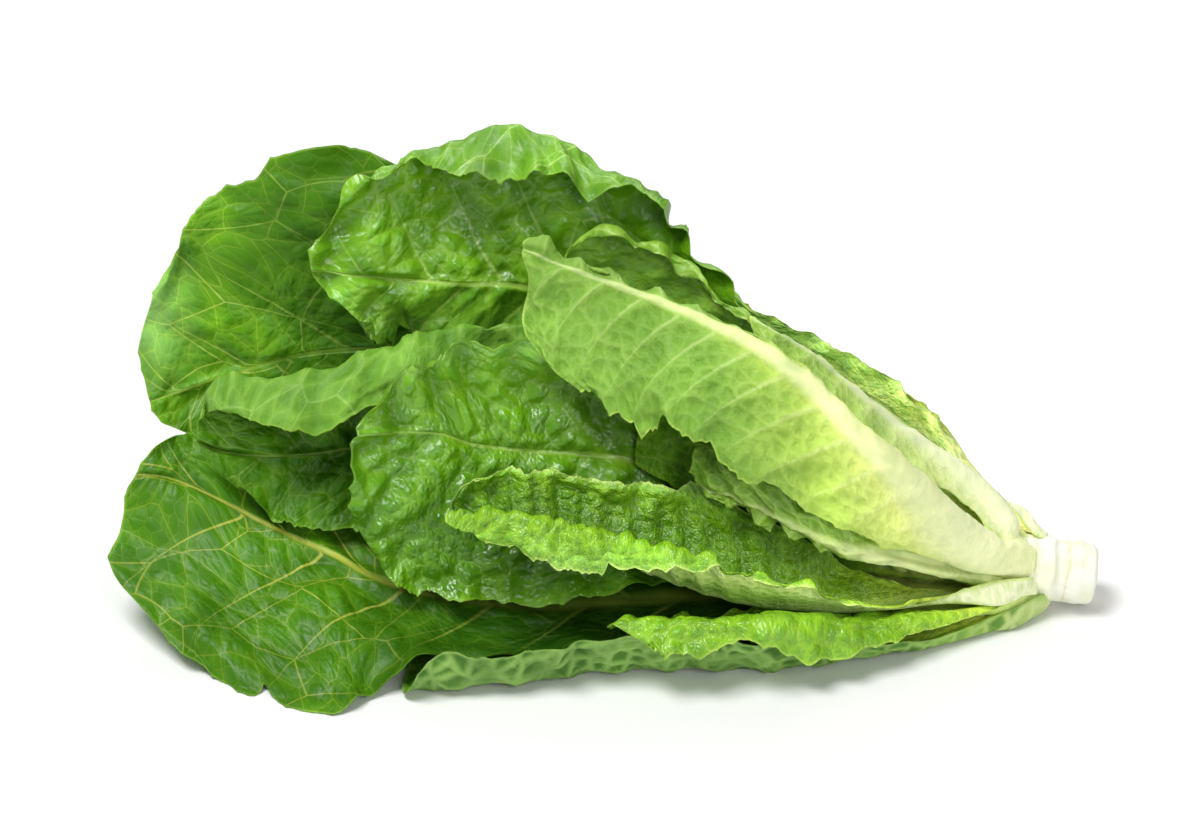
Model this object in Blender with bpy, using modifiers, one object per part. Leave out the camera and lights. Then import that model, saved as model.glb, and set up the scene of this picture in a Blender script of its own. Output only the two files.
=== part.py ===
"""A romaine lettuce head lying on its side.

The head is a short stem with a conical core, and leaves that grow around it. Every leaf is its
own closed solid. A leaf is described by rows of points across it, from its base to its tip. The
lines through the rows run along the leaf: the first and last are its margins, and a middle one
is its rib. All lengths in the tables are millimetres; the objects are made in metres.

Frame: +X points to the cut stem, +Z is up, and the head rests on z = 0. The origin is below the
middle of the head. The head is opened towards -Y, where the lower leaves show their inner faces.
"""
import math

import bmesh
import bpy
import numpy as np
from mathutils import Vector
from mathutils.bvhtree import BVHTree

MM = 0.001

# The tables are drawn about the stem's axis. This moves the middle of the head to the origin.
HEAD_SHIFT = (-0.6, -4.7, 0.0)

# The stem: a cut stub, the band where the outer leaves grow, and the core inside the head.
STEM_END_X = 168.0
STEM_END_Z = 11.9
STEM_RISE = 0.122  # height gained for each millimetre along the axis towards the leaves
STEM_LENGTH = 73.5
STEM_PROFILE = (  # distance from the cut end along the axis, radius
    (0.0, 9.6),
    (1.2, 10.6),
    (13.0, 10.4),
    (15.0, 11.2),
    (26.0, 10.8),
    (34.0, 9.4),
    (48.0, 7.2),
    (62.0, 5.0),
    (72.0, 3.0),
)
STEM_SIDES = 28
STEM_GAP = 0.8  # between the stem and a leaf's face

LEAF_THICKNESS = 1.2
ROWS = 13  # points along a leaf
COLUMNS = 9  # points across a leaf
LEAF_SPACING = 2.6  # between the middle surfaces of two leaves that lie on each other
BASE_SPACING = 1.9  # the same, near the stem, where the leaves are packed tighter
LOWEST_MIDDLE = LEAF_THICKNESS / 2 + 0.02  # a leaf's middle surface where it lies on the ground

# How the leaves are moved apart.
SETTLE_ROUNDS = 60
REACH = 9.0  # how far from a leaf its neighbours are looked for
LONGEST_PUSH = 3.0
BEND_SHARE = 0.12  # how much of its neighbours' shift a point takes over in each round
BASE_ROWS = 4  # the rows near the stem, where growth decides which leaf is the outer one
OPPOSITE_TURN = 100  # leaves that grow further round the stem than this don't meet near it
FACES_CLEARLY = 0.7  # least cosine between the way to a leaf and its normal, to tell the side
FACES_AT_ALL = 0.6  # the same, to be pushed away from it

DARK_GREEN = (0.045, 0.170, 0.010)
LEAF_GREEN = (0.080, 0.250, 0.015)
FRESH_GREEN = (0.160, 0.400, 0.030)
LIGHT_GREEN = (0.330, 0.560, 0.100)
GREY_GREEN = (0.230, 0.380, 0.110)
PALE_GREEN = (0.550, 0.700, 0.240)
HEART_YELLOW = (0.680, 0.720, 0.220)
STEM_CREAM = (0.760, 0.740, 0.480)
LEAF_ROUGHNESS = 0.42
STEM_ROUGHNESS = 0.50


def leaf(colour, grows_at, angle, spread, *rows):
    """A leaf's description: its colour, where it grows on the stem (x, angle around it, and how
    far round it reaches to each side, in degrees) and its rows of points, from base to tip."""
    return {
        "colour": colour,
        "grows_at": grows_at,
        "angle": angle,
        "spread": spread,
        "rows": rows,
    }


LEAVES = {
    "tall_rear_leaf": leaf(
        LEAF_GREEN, 138, 15, 38,
        ((112, 14, 36), (110, 19, 22), (108, 18, 9)),
        ((62, 32, 72), (60, 40, 42), (60, 38, 13)),
        ((0, 62, 104), (0, 56, 58), (0, 48, 16)),
        ((-58, 77, 126), (-52, 62, 63), (-52, 50, 18)),
        ((-94, 82, 137), (-82, 64, 64), (-82, 50, 20)),
        ((-128, 79, 127), (-108, 64, 61), (-110, 49, 23)),
        ((-153, 72, 100), (-134, 62, 53), (-133, 49, 28)),
        ((-164, 64, 76), (-159, 58, 46), (-152, 52, 37)),
    ),
    "upper_leaf": leaf(
        DARK_GREEN, 132, 56, 38,
        ((112, 4, 37), (112, 8, 36), (113, 12, 32), (114, 16, 25), (112, 17, 15)),
        ((78, 16, 66), (78, 21, 66), (79, 27, 55), (80, 28, 42), (78, 26, 18)),
        ((42, 31, 102), (42, 37, 103), (41, 42, 84), (40, 42, 63), (40, 36, 26)),
        ((10, 42, 122), (15, 54, 122), (6, 55, 102), (0, 50, 80), (0, 42, 38)),
        ((-14, 43, 134), (-12, 64, 142), (-18, 62, 113), (-22, 54, 91), (-25, 44, 48)),
        ((-38, 45, 139), (-36, 67, 147), (-42, 63, 117), (-48, 52, 95), (-52, 45, 56)),
        ((-64, 46, 138), (-61, 61, 139), (-67, 58, 118), (-74, 50, 100), (-78, 43, 62)),
        ((-80, 54, 141), (-90, 50, 134), (-97, 45, 119), (-102, 40, 109), (-97, 41, 80)),
    ),
    "upper_inner_leaf": leaf(
        LEAF_GREEN, 124, 85, 38,
        ((106, 2, 42), (106, 6, 43), (106, 10, 40), (105, 11, 35)),
        ((76, 10, 72), (76, 14, 74), (76, 20, 66), (74, 23, 54)),
        ((50, 19, 98), (50, 25, 101), (46, 33, 86), (44, 35, 66)),
        ((29, 28, 113), (31, 36, 118), (22, 43, 98), (18, 43, 76)),
        ((9, 34, 120), (7, 40, 124), (0, 47, 102), (-4, 46, 82)),
        ((-10, 38, 116), (-13, 42, 118), (-16, 49, 102), (-20, 48, 86)),
    ),
    "flopped_leaf": leaf(
        LIGHT_GREEN, 141, 135, 34,
        ((122, -14, 22), (125, -15, 27), (128, -11, 31), (129, -6, 31)),
        ((96, -26, 35), (102, -25, 44), (108, -18, 54), (108, -11, 54)),
        ((72, -31, 48), (81, -28, 60), (88, -20, 77), (88, -12, 76)),
        ((50, -32, 62), (60, -25, 80), (68, -13, 96), (68, -5, 94)),
        ((30, -24, 75), (38, -14, 94), (45, -2, 107), (46, 7, 100)),
        ((8, -17, 73), (11, -3, 97), (15, 12, 115), (16, 20, 108)),
        ((-14, -4, 83), (-12, 9, 104), (-10, 21, 120), (-9, 26, 114)),
        ((-28, 4, 92), (-31, 18, 110), (-30, 28, 126), (-24, 30, 122)),
    ),
    "ribbed_inner_leaf": leaf(
        LIGHT_GREEN, 133, 165, 34,
        ((116, -14, 18), (118, -12, 23), (116, -7, 28)),
        ((99, -22, 26), (101, -20, 33), (100, -13, 42)),
        ((80, -26, 30), (77, -24, 46), (76, -15, 58)),
        ((62, -22, 37), (53, -21, 60), (54, -11, 70)),
        ((46, -16, 44), (39, -14, 61), (40, -5, 70)),
        ((33, -9, 50), (28, -7, 58), (30, 0, 67)),
    ),
    "top_outer_leaf": leaf(
        PALE_GREEN, 139, 107, 27,
        ((124, -3, 37), (126, 8, 43), (122, 17, 39)),
        ((102, -2, 50), (100, 13, 62), (100, 22, 56)),
        ((78, 2, 70), (74, 16, 86), (76, 26, 76)),
        ((60, 6, 84), (56, 15, 99), (58, 24, 88)),
        ((54, 9, 93), (49, 16, 103), (52, 22, 96)),
    ),
    "rear_ragged_leaf": leaf(
        FRESH_GREEN, 141, 56, 23,
        ((126, 14, 46), (128, 14, 34), (126, 17, 20)),
        ((116, 20, 64), (112, 24, 48), (108, 26, 28)),
        ((104, 23, 75), (96, 30, 60), (88, 33, 34)),
        ((84, 26, 84), (76, 33, 72), (66, 38, 44)),
        ((62, 29, 93), (54, 37, 84), (46, 43, 54)),
        ((40, 32, 104), (32, 41, 94), (26, 49, 62)),
    ),
    "rear_outer_leaf": leaf(
        PALE_GREEN, 146.5, 48, 34,
        ((135, 15, 38), (131, 21, 24), (128, 18, 9)),
        ((119, 27, 60), (108, 35, 40), (104, 31, 12)),
        ((100, 33, 71), (84, 44, 52), (78, 44, 14)),
        ((78, 35, 81), (54, 52, 64), (46, 55, 20)),
        ((48, 42, 96), (18, 64, 76), (10, 66, 32)),
        ((24, 59, 102), (-6, 71, 86), (-10, 71, 60)),
    ),
    "rear_low_leaf": leaf(
        GREY_GREEN, 147, 5, 32,
        ((118, 27, 26), (118, 27, 14), (117, 22, 3)),
        ((85, 49, 42), (84, 50, 20), (84, 44, 1)),
        ((45, 62, 56), (44, 63, 26), (44, 56, 0)),
        ((0, 74, 66), (0, 74, 31), (0, 65, 0)),
        ((-40, 81, 62), (-42, 80, 35), (-40, 71, 5)),
        ((-58, 82, 52), (-66, 80, 38), (-60, 75, 20)),
    ),
    "under_leaf": leaf(
        GREY_GREEN, 145.5, 328, 25,
        ((114, 19, 9), (114, 15, 5), (114, 9, 3)),
        ((80, 34, 13), (80, 25, 2), (80, 13, 1)),
        ((35, 46, 13), (35, 34, 1), (35, 16, 0)),
        ((-10, 54, 13), (-10, 38, 0), (-10, 16, 0)),
        ((-50, 58, 14), (-50, 40, 0), (-48, 16, 0)),
        ((-80, 56, 10), (-87, 42, 1), (-80, 20, 0)),
    ),
    "floor_leaf": leaf(
        GREY_GREEN, 147, 228, 33,
        ((118, 4, 4), (119, -6, 2), (118, -21, 1), (118, -28, 8)),
        ((88, 6, 3), (88, -10, 2), (87, -34, 1), (88, -44, 15)),
        ((45, 8, 2), (45, -14, 1), (45, -42, 1), (46, -53, 21)),
        ((0, 8, 2), (0, -16, 1), (0, -44, 1), (0, -55, 24)),
        ((-30, 5, 2), (-30, -18, 1), (-28, -50, 1), (-28, -59, 19)),
        ((-52, 0, 2), (-54, -22, 1), (-56, -54, 1), (-56, -62, 21)),
        ((-58, -8, 2), (-62, -26, 1), (-66, -54, 1), (-63, -63, 14)),
    ),
    "low_left_leaf": leaf(
        DARK_GREEN, 144.5, 285, 29,
        ((98, 14, 8), (99, 10, 6), (100, 4, 5), (100, -2, 5), (98, -9, 6)),
        ((60, 24, 15), (60, 12, 8), (60, -2, 5), (60, -16, 5), (60, -28, 6)),
        ((15, 32, 26), (15, 14, 12), (15, -9, 6), (15, -26, 5), (15, -40, 7)),
        ((-30, 36, 38), (-28, 14, 20), (-28, -15, 8), (-30, -34, 5), (-32, -50, 6)),
        ((-66, 38, 46), (-66, 16, 28), (-67, -15, 15), (-68, -40, 7), (-68, -58, 3)),
        ((-96, 36, 53), (-92, 16, 35), (-90, -8, 23), (-90, -42, 11), (-86, -73, 0)),
        ((-122, 32, 58), (-117, 18, 44), (-115, 0, 30), (-115, -36, 12), (-115, -65, 0)),
        ((-140, 26, 60), (-139, 18, 50), (-140, 8, 40), (-141, -20, 20), (-138, -46, 3)),
        ((-149, 20, 55), (-154, 15, 51), (-160, 8, 45), (-168, -9, 28), (-161, -31, 9)),
    ),
    "folded_leaf": leaf(
        DARK_GREEN, 126, 321, 38,
        ((104, 6, 29), (104, 8, 28), (104, 10, 22), (103, 8, 15), (102, 5, 12)),
        ((70, 13, 51), (70, 17, 50), (70, 20, 38), (70, 18, 22), (70, 6, 12)),
        ((30, 20, 73), (30, 25, 74), (30, 28, 54), (30, 24, 30), (30, 4, 12)),
        ((-10, 25, 86), (-10, 31, 90), (-10, 34, 64), (-10, 24, 38), (-12, 0, 15)),
        ((-44, 21, 82), (-45, 28, 92), (-46, 32, 68), (-46, 20, 44), (-50, -3, 20)),
        ((-72, 5, 73), (-74, 20, 88), (-76, 25, 64), (-78, 13, 44), (-82, -6, 24)),
        ((-98, -8, 67), (-102, 14, 81), (-102, 16, 60), (-104, 8, 46), (-106, -6, 27)),
        ((-118, -7, 66), (-127, 11, 79), (-126, 10, 62), (-126, 5, 52), (-122, -3, 38)),
        ((-130, 0, 68), (-136, 6, 72), (-138, 6, 66), (-137, 4, 60), (-134, 1, 52)),
    ),
    "middle_leaf": leaf(
        LEAF_GREEN, 120, 310, 40,
        ((100, 1, 28), (100, 4, 25), (100, 4, 18), (100, 0, 14), (100, -5, 13)),
        ((70, 7, 48), (70, 11, 40), (70, 9, 29), (70, 1, 20), (70, -8, 15)),
        ((35, 13, 72), (35, 17, 57), (35, 12, 41), (35, 0, 25), (35, -14, 15)),
        ((2, 14, 92), (0, 17, 70), (0, 11, 48), (0, -4, 26), (-2, -20, 12)),
        ((-32, 9, 99), (-36, 12, 76), (-37, 5, 54), (-38, -9, 30), (-40, -24, 12)),
        ((-54, 4, 98), (-56, 5, 80), (-58, -1, 64), (-62, -13, 38), (-66, -23, 15)),
        ((-68, -2, 91), (-77, -6, 80), (-83, -11, 69), (-85, -15, 48), (-81, -20, 24)),
    ),
    "boat_leaf": leaf(
        FRESH_GREEN, 142, 195, 30,
        ((118, -8, 10), (118, -12, 11), (118, -16, 12), (117, -20, 15), (116, -21, 20)),
        ((94, -9, 18), (95, -16, 15), (96, -26, 13), (95, -34, 20), (95, -37, 19)),
        ((67, -5, 33), (68, -13, 25), (68, -29, 16), (67, -40, 33), (67, -46, 26)),
        ((35, -2, 50), (35, -10, 37), (35, -26, 24), (34, -41, 45), (36, -49, 38)),
        ((8, -8, 58), (5, -13, 46), (3, -24, 35), (2, -39, 51), (2, -49, 36)),
        ((-20, -12, 64), (-20, -14, 54), (-20, -24, 44), (-18, -36, 55), (-20, -46, 38)),
        ((-38, -15, 64), (-41, -18, 58), (-42, -26, 52), (-43, -33, 56), (-46, -38, 42)),
        ((-44, -18, 62), (-48, -22, 60), (-50, -27, 57), (-50, -31, 54), (-50, -35, 47)),
    ),
    "bright_lower_leaf": leaf(
        FRESH_GREEN, 143, 222, 29,
        ((117, -7, 6), (118, -14, 7), (118, -25, 12), (116, -32, 9)),
        ((96, -6, 9), (98, -16, 9), (100, -35, 19), (99, -46, 9)),
        ((66, -12, 9), (67, -24, 9), (67, -47, 24), (69, -57, 11)),
        ((45, -15, 9), (46, -27, 10), (46, -52, 27), (47, -57, 20)),
        ((28, -17, 9), (28, -30, 11), (27, -52, 28), (26, -60, 13)),
        ((8, -22, 9), (4, -34, 14), (0, -50, 26), (-3, -55, 23)),
    ),
    "heart_top_leaf": leaf(
        LIGHT_GREEN, 116, 120, 40,
        ((98, -9, 38), (98, -3, 43), (98, 4, 42)),
        ((70, -13, 64), (70, -6, 72), (70, 3, 70)),
        ((42, -11, 82), (42, -3, 90), (43, 6, 86)),
        ((24, -4, 86), (18, 5, 92), (23, 11, 86)),
    ),
    "heart_leaf_1": leaf(
        PALE_GREEN, 112, 345, 45,
        ((92, 6, 44), (92, 8, 34), (92, 0, 26)),
        ((65, 8, 62), (65, 10, 46), (65, -2, 32)),
        ((35, 6, 76), (36, 11, 56), (36, 2, 38)),
        ((18, 6, 78), (10, 10, 60), (14, 4, 44)),
    ),
    "heart_leaf_2": leaf(
        PALE_GREEN, 106, 165, 45,
        ((90, -6, 32), (90, -8, 40), (90, -2, 46)),
        ((66, -8, 44), (66, -8, 54), (66, -1, 62)),
        ((46, -6, 54), (40, -4, 62), (46, 2, 66)),
    ),
    "heart_bud": leaf(
        HEART_YELLOW, 102, 170, 50,
        ((87, -3, 26), (86, -5, 31), (86, -2, 35)),
        ((72, -2, 34), (70, -4, 40), (72, -1, 43)),
        ((62, -1, 42), (58, -2, 47), (61, 0, 50)),
    ),
}

# Leaves of which one is folded over the other, so that it lies on both of its faces.
FOLDED_PAIRS = (
    {"bright_lower_leaf", "floor_leaf"},
    {"folded_leaf", "middle_leaf"},
    {"boat_leaf", "ribbed_inner_leaf"},
    {"boat_leaf", "flopped_leaf"},
)


def stem_centre(x):
    """The stem's axis at x."""
    return np.array((x, 0.0, STEM_END_Z + (STEM_END_X - x) * STEM_RISE))


def stem_radius(x):
    """The stem's radius at x."""
    along = [distance for distance, _ in STEM_PROFILE]
    radii = [radius for _, radius in STEM_PROFILE]
    return float(np.interp(STEM_END_X - x, along, radii))


def collar_row(description, count):
    """The leaf's first row: an arc around the stem where the leaf grows."""
    x = description["grows_at"]
    centre = stem_centre(x)
    radius = stem_radius(x) + LEAF_THICKNESS / 2 + STEM_GAP
    middle = math.radians(description["angle"])
    spread = math.radians(description["spread"])
    angles = np.linspace(middle + spread, middle - spread, count)
    return [centre + radius * np.array((0.0, math.cos(a), math.sin(a))) for a in angles]


def smooth_through(points, count):
    """Evenly spaced points on the Catmull-Rom curve through the given ones, along axis 0."""
    before = 2 * points[:1] - points[1:2]
    after = 2 * points[-1:] - points[-2:-1]
    padded = np.concatenate((before, points, after))
    place = np.linspace(0, len(points) - 1, count)
    start = np.minimum(place.astype(int), len(points) - 2)
    t = (place - start).reshape((-1,) + (1,) * (points.ndim - 1))
    p0, p1, p2, p3 = (padded[start + k] for k in range(4))
    return 0.5 * (
        2 * p1
        + (p2 - p0) * t
        + (2 * p0 - 5 * p1 + 4 * p2 - p3) * t ** 2
        + (3 * p1 - p0 - 3 * p2 + p3) * t ** 3
    )


def leaf_grid(description):
    """The leaf's middle surface as a grid of ROWS x COLUMNS points, in millimetres."""
    rows = description["rows"]
    cage = np.array([collar_row(description, len(rows[0])), *rows], float)
    along = smooth_through(cage, ROWS)
    return smooth_through(along.transpose(1, 0, 2), COLUMNS).transpose(1, 0, 2)


def grid_triangles():
    """The triangles of a grid, as indices of its points."""
    found = []
    for i in range(ROWS - 1):
        for j in range(COLUMNS - 1):
            a = i * COLUMNS + j
            b = a + COLUMNS
            found.append((a, b, b + 1))
            found.append((a, b + 1, a + 1))
    return found


def side_of(grid, others, triangles):
    """For each point of a leaf, the side of the other leaf that it lies on: +1, -1 or 0."""
    tree = BVHTree.FromPolygons([Vector(p) for p in others.reshape(-1, 3)], triangles)
    signed = np.zeros(grid.shape[:2])
    for i in range(grid.shape[0]):
        for j in range(grid.shape[1]):
            point = Vector(grid[i, j])
            spot, normal, _, distance = tree.find_nearest(point, 2 * REACH)
            if spot is not None and distance > 0:
                offset = (point - spot).dot(normal)
                if abs(offset) > FACES_CLEARLY * distance:
                    signed[i, j] = max(-REACH, min(offset, REACH))
    return signed


def smoothed(field):
    """Each point's value averaged with its eight neighbours'."""
    padded = np.pad(field, 1, mode="edge")
    height, width = field.shape
    total = sum(padded[i:i + height, j:j + width] for i in range(3) for j in range(3))
    return total / 9


def sides_to_keep(one, other, grids, triangles):
    """The side of the other leaf (+1 its inner face, -1 its outer face, 0 either) on which each
    point of the one leaf stays. Near the stem the leaf that grows further down is the outer one;
    further out a leaf stays on the side where most of it lies."""
    signed = side_of(grids[one], grids[other], triangles)
    outer_rows = signed[BASE_ROWS:]
    side = np.full(signed.shape, np.sign(outer_rows.sum()))
    if {one, other} in FOLDED_PAIRS:
        side = np.where(signed == 0, side, np.sign(smoothed(signed)))
    turn = abs(LEAVES[one]["angle"] - LEAVES[other]["angle"]) % 360
    if min(turn, 360 - turn) > OPPOSITE_TURN:
        side[:BASE_ROWS] = 0
    else:
        side[:BASE_ROWS] = np.sign(LEAVES[other]["grows_at"] - LEAVES[one]["grows_at"])
    return side


def row_spacing():
    """The least distance to keep from a neighbour, for each row from the base to the tip."""
    free_part = np.clip(4 * np.linspace(0, 1, ROWS) - 0.6, 0, 1)
    return BASE_SPACING + (LEAF_SPACING - BASE_SPACING) * free_part


def push_apart(one, other, grids, side, triangles, pushes, counts):
    """Adds up the pushes that keep the one leaf's points on their side of the other leaf."""
    corners = [Vector(p) for p in grids[other].reshape(-1, 3)]
    tree = BVHTree.FromPolygons(corners, triangles)
    low = grids[other].min(axis=(0, 1)) - REACH
    high = grids[other].max(axis=(0, 1)) + REACH
    grid = grids[one]
    spacing = row_spacing()
    near = ((grid > low) & (grid < high)).all(axis=2) & (side != 0)
    for i, j in zip(*np.nonzero(near)):
        point = Vector(grid[i, j])
        spot, normal, index, distance = tree.find_nearest(point, REACH)
        if spot is None:
            continue
        offset = side[i, j] * (point - spot).dot(normal)
        if abs(offset) < FACES_AT_ALL * distance or offset > spacing[i]:
            continue
        push = np.array(normal) * side[i, j] * min(spacing[i] - offset, LONGEST_PUSH) / 2
        pushes[one][i, j] += push
        counts[one][i, j] += 1
        for corner in triangles[index]:
            row, column = divmod(corner, COLUMNS)
            pushes[other][row, column] -= push / 3
            counts[other][row, column] += 1 / 3


def settle(grids):
    """Moves the leaves apart, little by little, until none crosses another, the stem or the
    ground."""
    triangles = grid_triangles()
    pairs = [(one, other) for other in grids for one in grids if one != other]
    sides = {(one, other): sides_to_keep(one, other, grids, triangles) for one, other in pairs}
    start = {name: grid.copy() for name, grid in grids.items()}
    moved = {name: np.zeros_like(grid) for name, grid in grids.items()}
    for _ in range(SETTLE_ROUNDS):
        pushes = {name: np.zeros_like(grid) for name, grid in grids.items()}
        counts = {name: np.zeros(grid.shape[:2]) for name, grid in grids.items()}
        for one, other in pairs:
            push_apart(one, other, grids, sides[one, other], triangles, pushes, counts)
        for name in grids:
            step = pushes[name] / np.maximum(counts[name], 1)[:, :, None]
            moved[name] = spread_out(moved[name] + step)
            grids[name] = off_ground_and_stem(start[name] + moved[name])
            moved[name] = grids[name] - start[name]
    return grids


def spread_out(field):
    """Blends each point's shift a little with its neighbours', so that a leaf bends smoothly."""
    padded = np.pad(field, ((1, 1), (1, 1), (0, 0)), mode="edge")
    around = (padded[:-2, 1:-1] + padded[2:, 1:-1] + padded[1:-1, :-2] + padded[1:-1, 2:]) / 4
    return field * (1 - BEND_SHARE) + around * BEND_SHARE


def off_ground_and_stem(grid):
    """Keeps a leaf's points above the ground and outside the stem."""
    grid = grid.copy()
    grid[:, :, 2] = np.maximum(grid[:, :, 2], LOWEST_MIDDLE)
    for i in range(grid.shape[0]):
        for j in range(grid.shape[1]):
            point = grid[i, j]
            centre = stem_centre(point[0])
            away = point - centre
            distance = np.linalg.norm(away)
            least = stem_radius(point[0]) + LEAF_THICKNESS / 2 + STEM_GAP
            if point[0] > STEM_END_X - STEM_LENGTH and distance < least:
                grid[i, j] = centre + away * (least / distance)
    return grid


def material(name, colour, roughness):
    """A plain Principled material."""
    made = bpy.data.materials.new(name)
    made.use_nodes = True
    shader = made.node_tree.nodes["Principled BSDF"]
    shader.inputs["Base Color"].default_value = (*colour, 1.0)
    shader.inputs["Roughness"].default_value = roughness
    shader.inputs["Metallic"].default_value = 0.0
    return made


def add_object(name, mesh, collection, surface, parent):
    """A new object of this mesh, under the parent."""
    made = bpy.data.objects.new(name, mesh)
    collection.objects.link(made)
    made.parent = parent
    mesh.materials.append(surface)
    mesh.shade_smooth()
    return made


def make_leaf(name, grid, collection, surface, parent):
    """The leaf's middle surface with Solidify. Its origin is at its base."""
    base = Vector(grid[0, COLUMNS // 2]) * MM
    points = [Vector(p) * MM - base for p in grid.reshape(-1, 3)]
    quads = []
    for i in range(ROWS - 1):
        for j in range(COLUMNS - 1):
            a = i * COLUMNS + j
            quads.append((a, a + COLUMNS, a + COLUMNS + 1, a + 1))
    mesh = bpy.data.meshes.new(name)
    mesh.from_pydata(points, [], quads)
    made = add_object(name, mesh, collection, surface, parent)
    made.location = base
    shell = made.modifiers.new("thickness", "SOLIDIFY")
    shell.thickness = LEAF_THICKNESS * MM
    shell.offset = 0.0
    return made


def make_stem(collection, surface, parent):
    """The stem: its profile turned about its axis, from the cut end to the point of the core."""
    mesh = bpy.data.meshes.new("stem")
    shape = bmesh.new()
    profile = [(0.0, 0.0), *STEM_PROFILE, (STEM_LENGTH, 0.0)]
    corners = [shape.verts.new((radius * MM, 0.0, -along * MM)) for along, radius in profile]
    for first, second in zip(corners, corners[1:]):
        shape.edges.new((first, second))
    shape.to_mesh(mesh)
    shape.free()
    made = add_object("stem", mesh, collection, surface, parent)
    made.location = (STEM_END_X * MM, 0.0, STEM_END_Z * MM)
    made.rotation_euler = (0.0, math.pi / 2 + math.atan(STEM_RISE), 0.0)
    turn = made.modifiers.new("turned", "SCREW")
    turn.axis = "Z"
    turn.steps = STEM_SIDES
    turn.render_steps = STEM_SIDES
    turn.use_merge_vertices = True
    turn.merge_threshold = 0.00005
    return made


def main():
    for old in list(bpy.data.objects):
        bpy.data.objects.remove(old)
    collection = bpy.data.collections.new("romaine_lettuce_head")
    bpy.context.scene.collection.children.link(collection)
    head = bpy.data.objects.new("head", None)
    head.location = Vector(HEAD_SHIFT) * MM
    collection.objects.link(head)
    make_stem(collection, material("stem", STEM_CREAM, STEM_ROUGHNESS), head)
    grids = settle({name: leaf_grid(description) for name, description in LEAVES.items()})
    for name, grid in grids.items():
        surface = material(name, LEAVES[name]["colour"], LEAF_ROUGHNESS)
        make_leaf(name, grid, collection, surface, head)


main()
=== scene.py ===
"""The look of a romaine lettuce head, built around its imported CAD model.

Every leaf is made again here from the same rows of points as its CAD solid, but finely: with a
toothed and ruffled margin, a thick rib, raised veins on its outer face and blisters between them.
A leaf's own coordinates are the millimetres along its rib and across from it. They are kept on
the mesh, so that the veins of the shape and the veins of the material are the same ones.
"""
import math
from types import SimpleNamespace

import bpy
import numpy as np
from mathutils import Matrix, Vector
from mathutils.bvhtree import BVHTree


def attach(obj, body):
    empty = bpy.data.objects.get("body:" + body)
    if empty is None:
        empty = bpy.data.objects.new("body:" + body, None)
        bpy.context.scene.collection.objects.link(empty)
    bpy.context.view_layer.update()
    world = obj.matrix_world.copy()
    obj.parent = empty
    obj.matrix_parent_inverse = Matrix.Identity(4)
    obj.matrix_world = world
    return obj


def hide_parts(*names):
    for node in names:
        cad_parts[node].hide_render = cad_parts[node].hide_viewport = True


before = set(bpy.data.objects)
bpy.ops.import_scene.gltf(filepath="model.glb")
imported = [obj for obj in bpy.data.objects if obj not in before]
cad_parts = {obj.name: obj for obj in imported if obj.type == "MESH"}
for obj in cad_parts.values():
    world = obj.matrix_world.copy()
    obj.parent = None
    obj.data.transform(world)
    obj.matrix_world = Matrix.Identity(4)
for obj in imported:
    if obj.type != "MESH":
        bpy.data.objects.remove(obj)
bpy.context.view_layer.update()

MM = 0.001

# ---- the leaves' rows of points, as in the CAD model ----

HEAD_SHIFT = np.array((-0.6, -4.7, 0.0))
STEM_END_X = 168.0
STEM_END_Z = 11.9
STEM_RISE = 0.122
STEM_LENGTH = 73.5
STEM_PROFILE = (
    (0.0, 9.6),
    (1.2, 10.6),
    (13.0, 10.4),
    (15.0, 11.2),
    (26.0, 10.8),
    (34.0, 9.4),
    (48.0, 7.2),
    (62.0, 5.0),
    (72.0, 3.0),
)
STEM_GAP = 0.8
LEAF_THICKNESS = 1.2
ROWS = 13
COLUMNS = 9
LEAF_SPACING = 2.6
BASE_SPACING = 1.9
LOWEST_MIDDLE = LEAF_THICKNESS / 2 + 0.02
SETTLE_ROUNDS = 60
REACH = 9.0
LONGEST_PUSH = 3.0
BEND_SHARE = 0.12
BASE_ROWS = 4
OPPOSITE_TURN = 100
FACES_CLEARLY = 0.7
FACES_AT_ALL = 0.6


def leaf(grows_at, angle, spread, *rows):
    """A leaf's description: where it grows on the stem (x, angle around it, and how far round
    it reaches to each side, in degrees) and its rows of points, from base to tip."""
    return {"grows_at": grows_at, "angle": angle, "spread": spread, "rows": rows}


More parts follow.
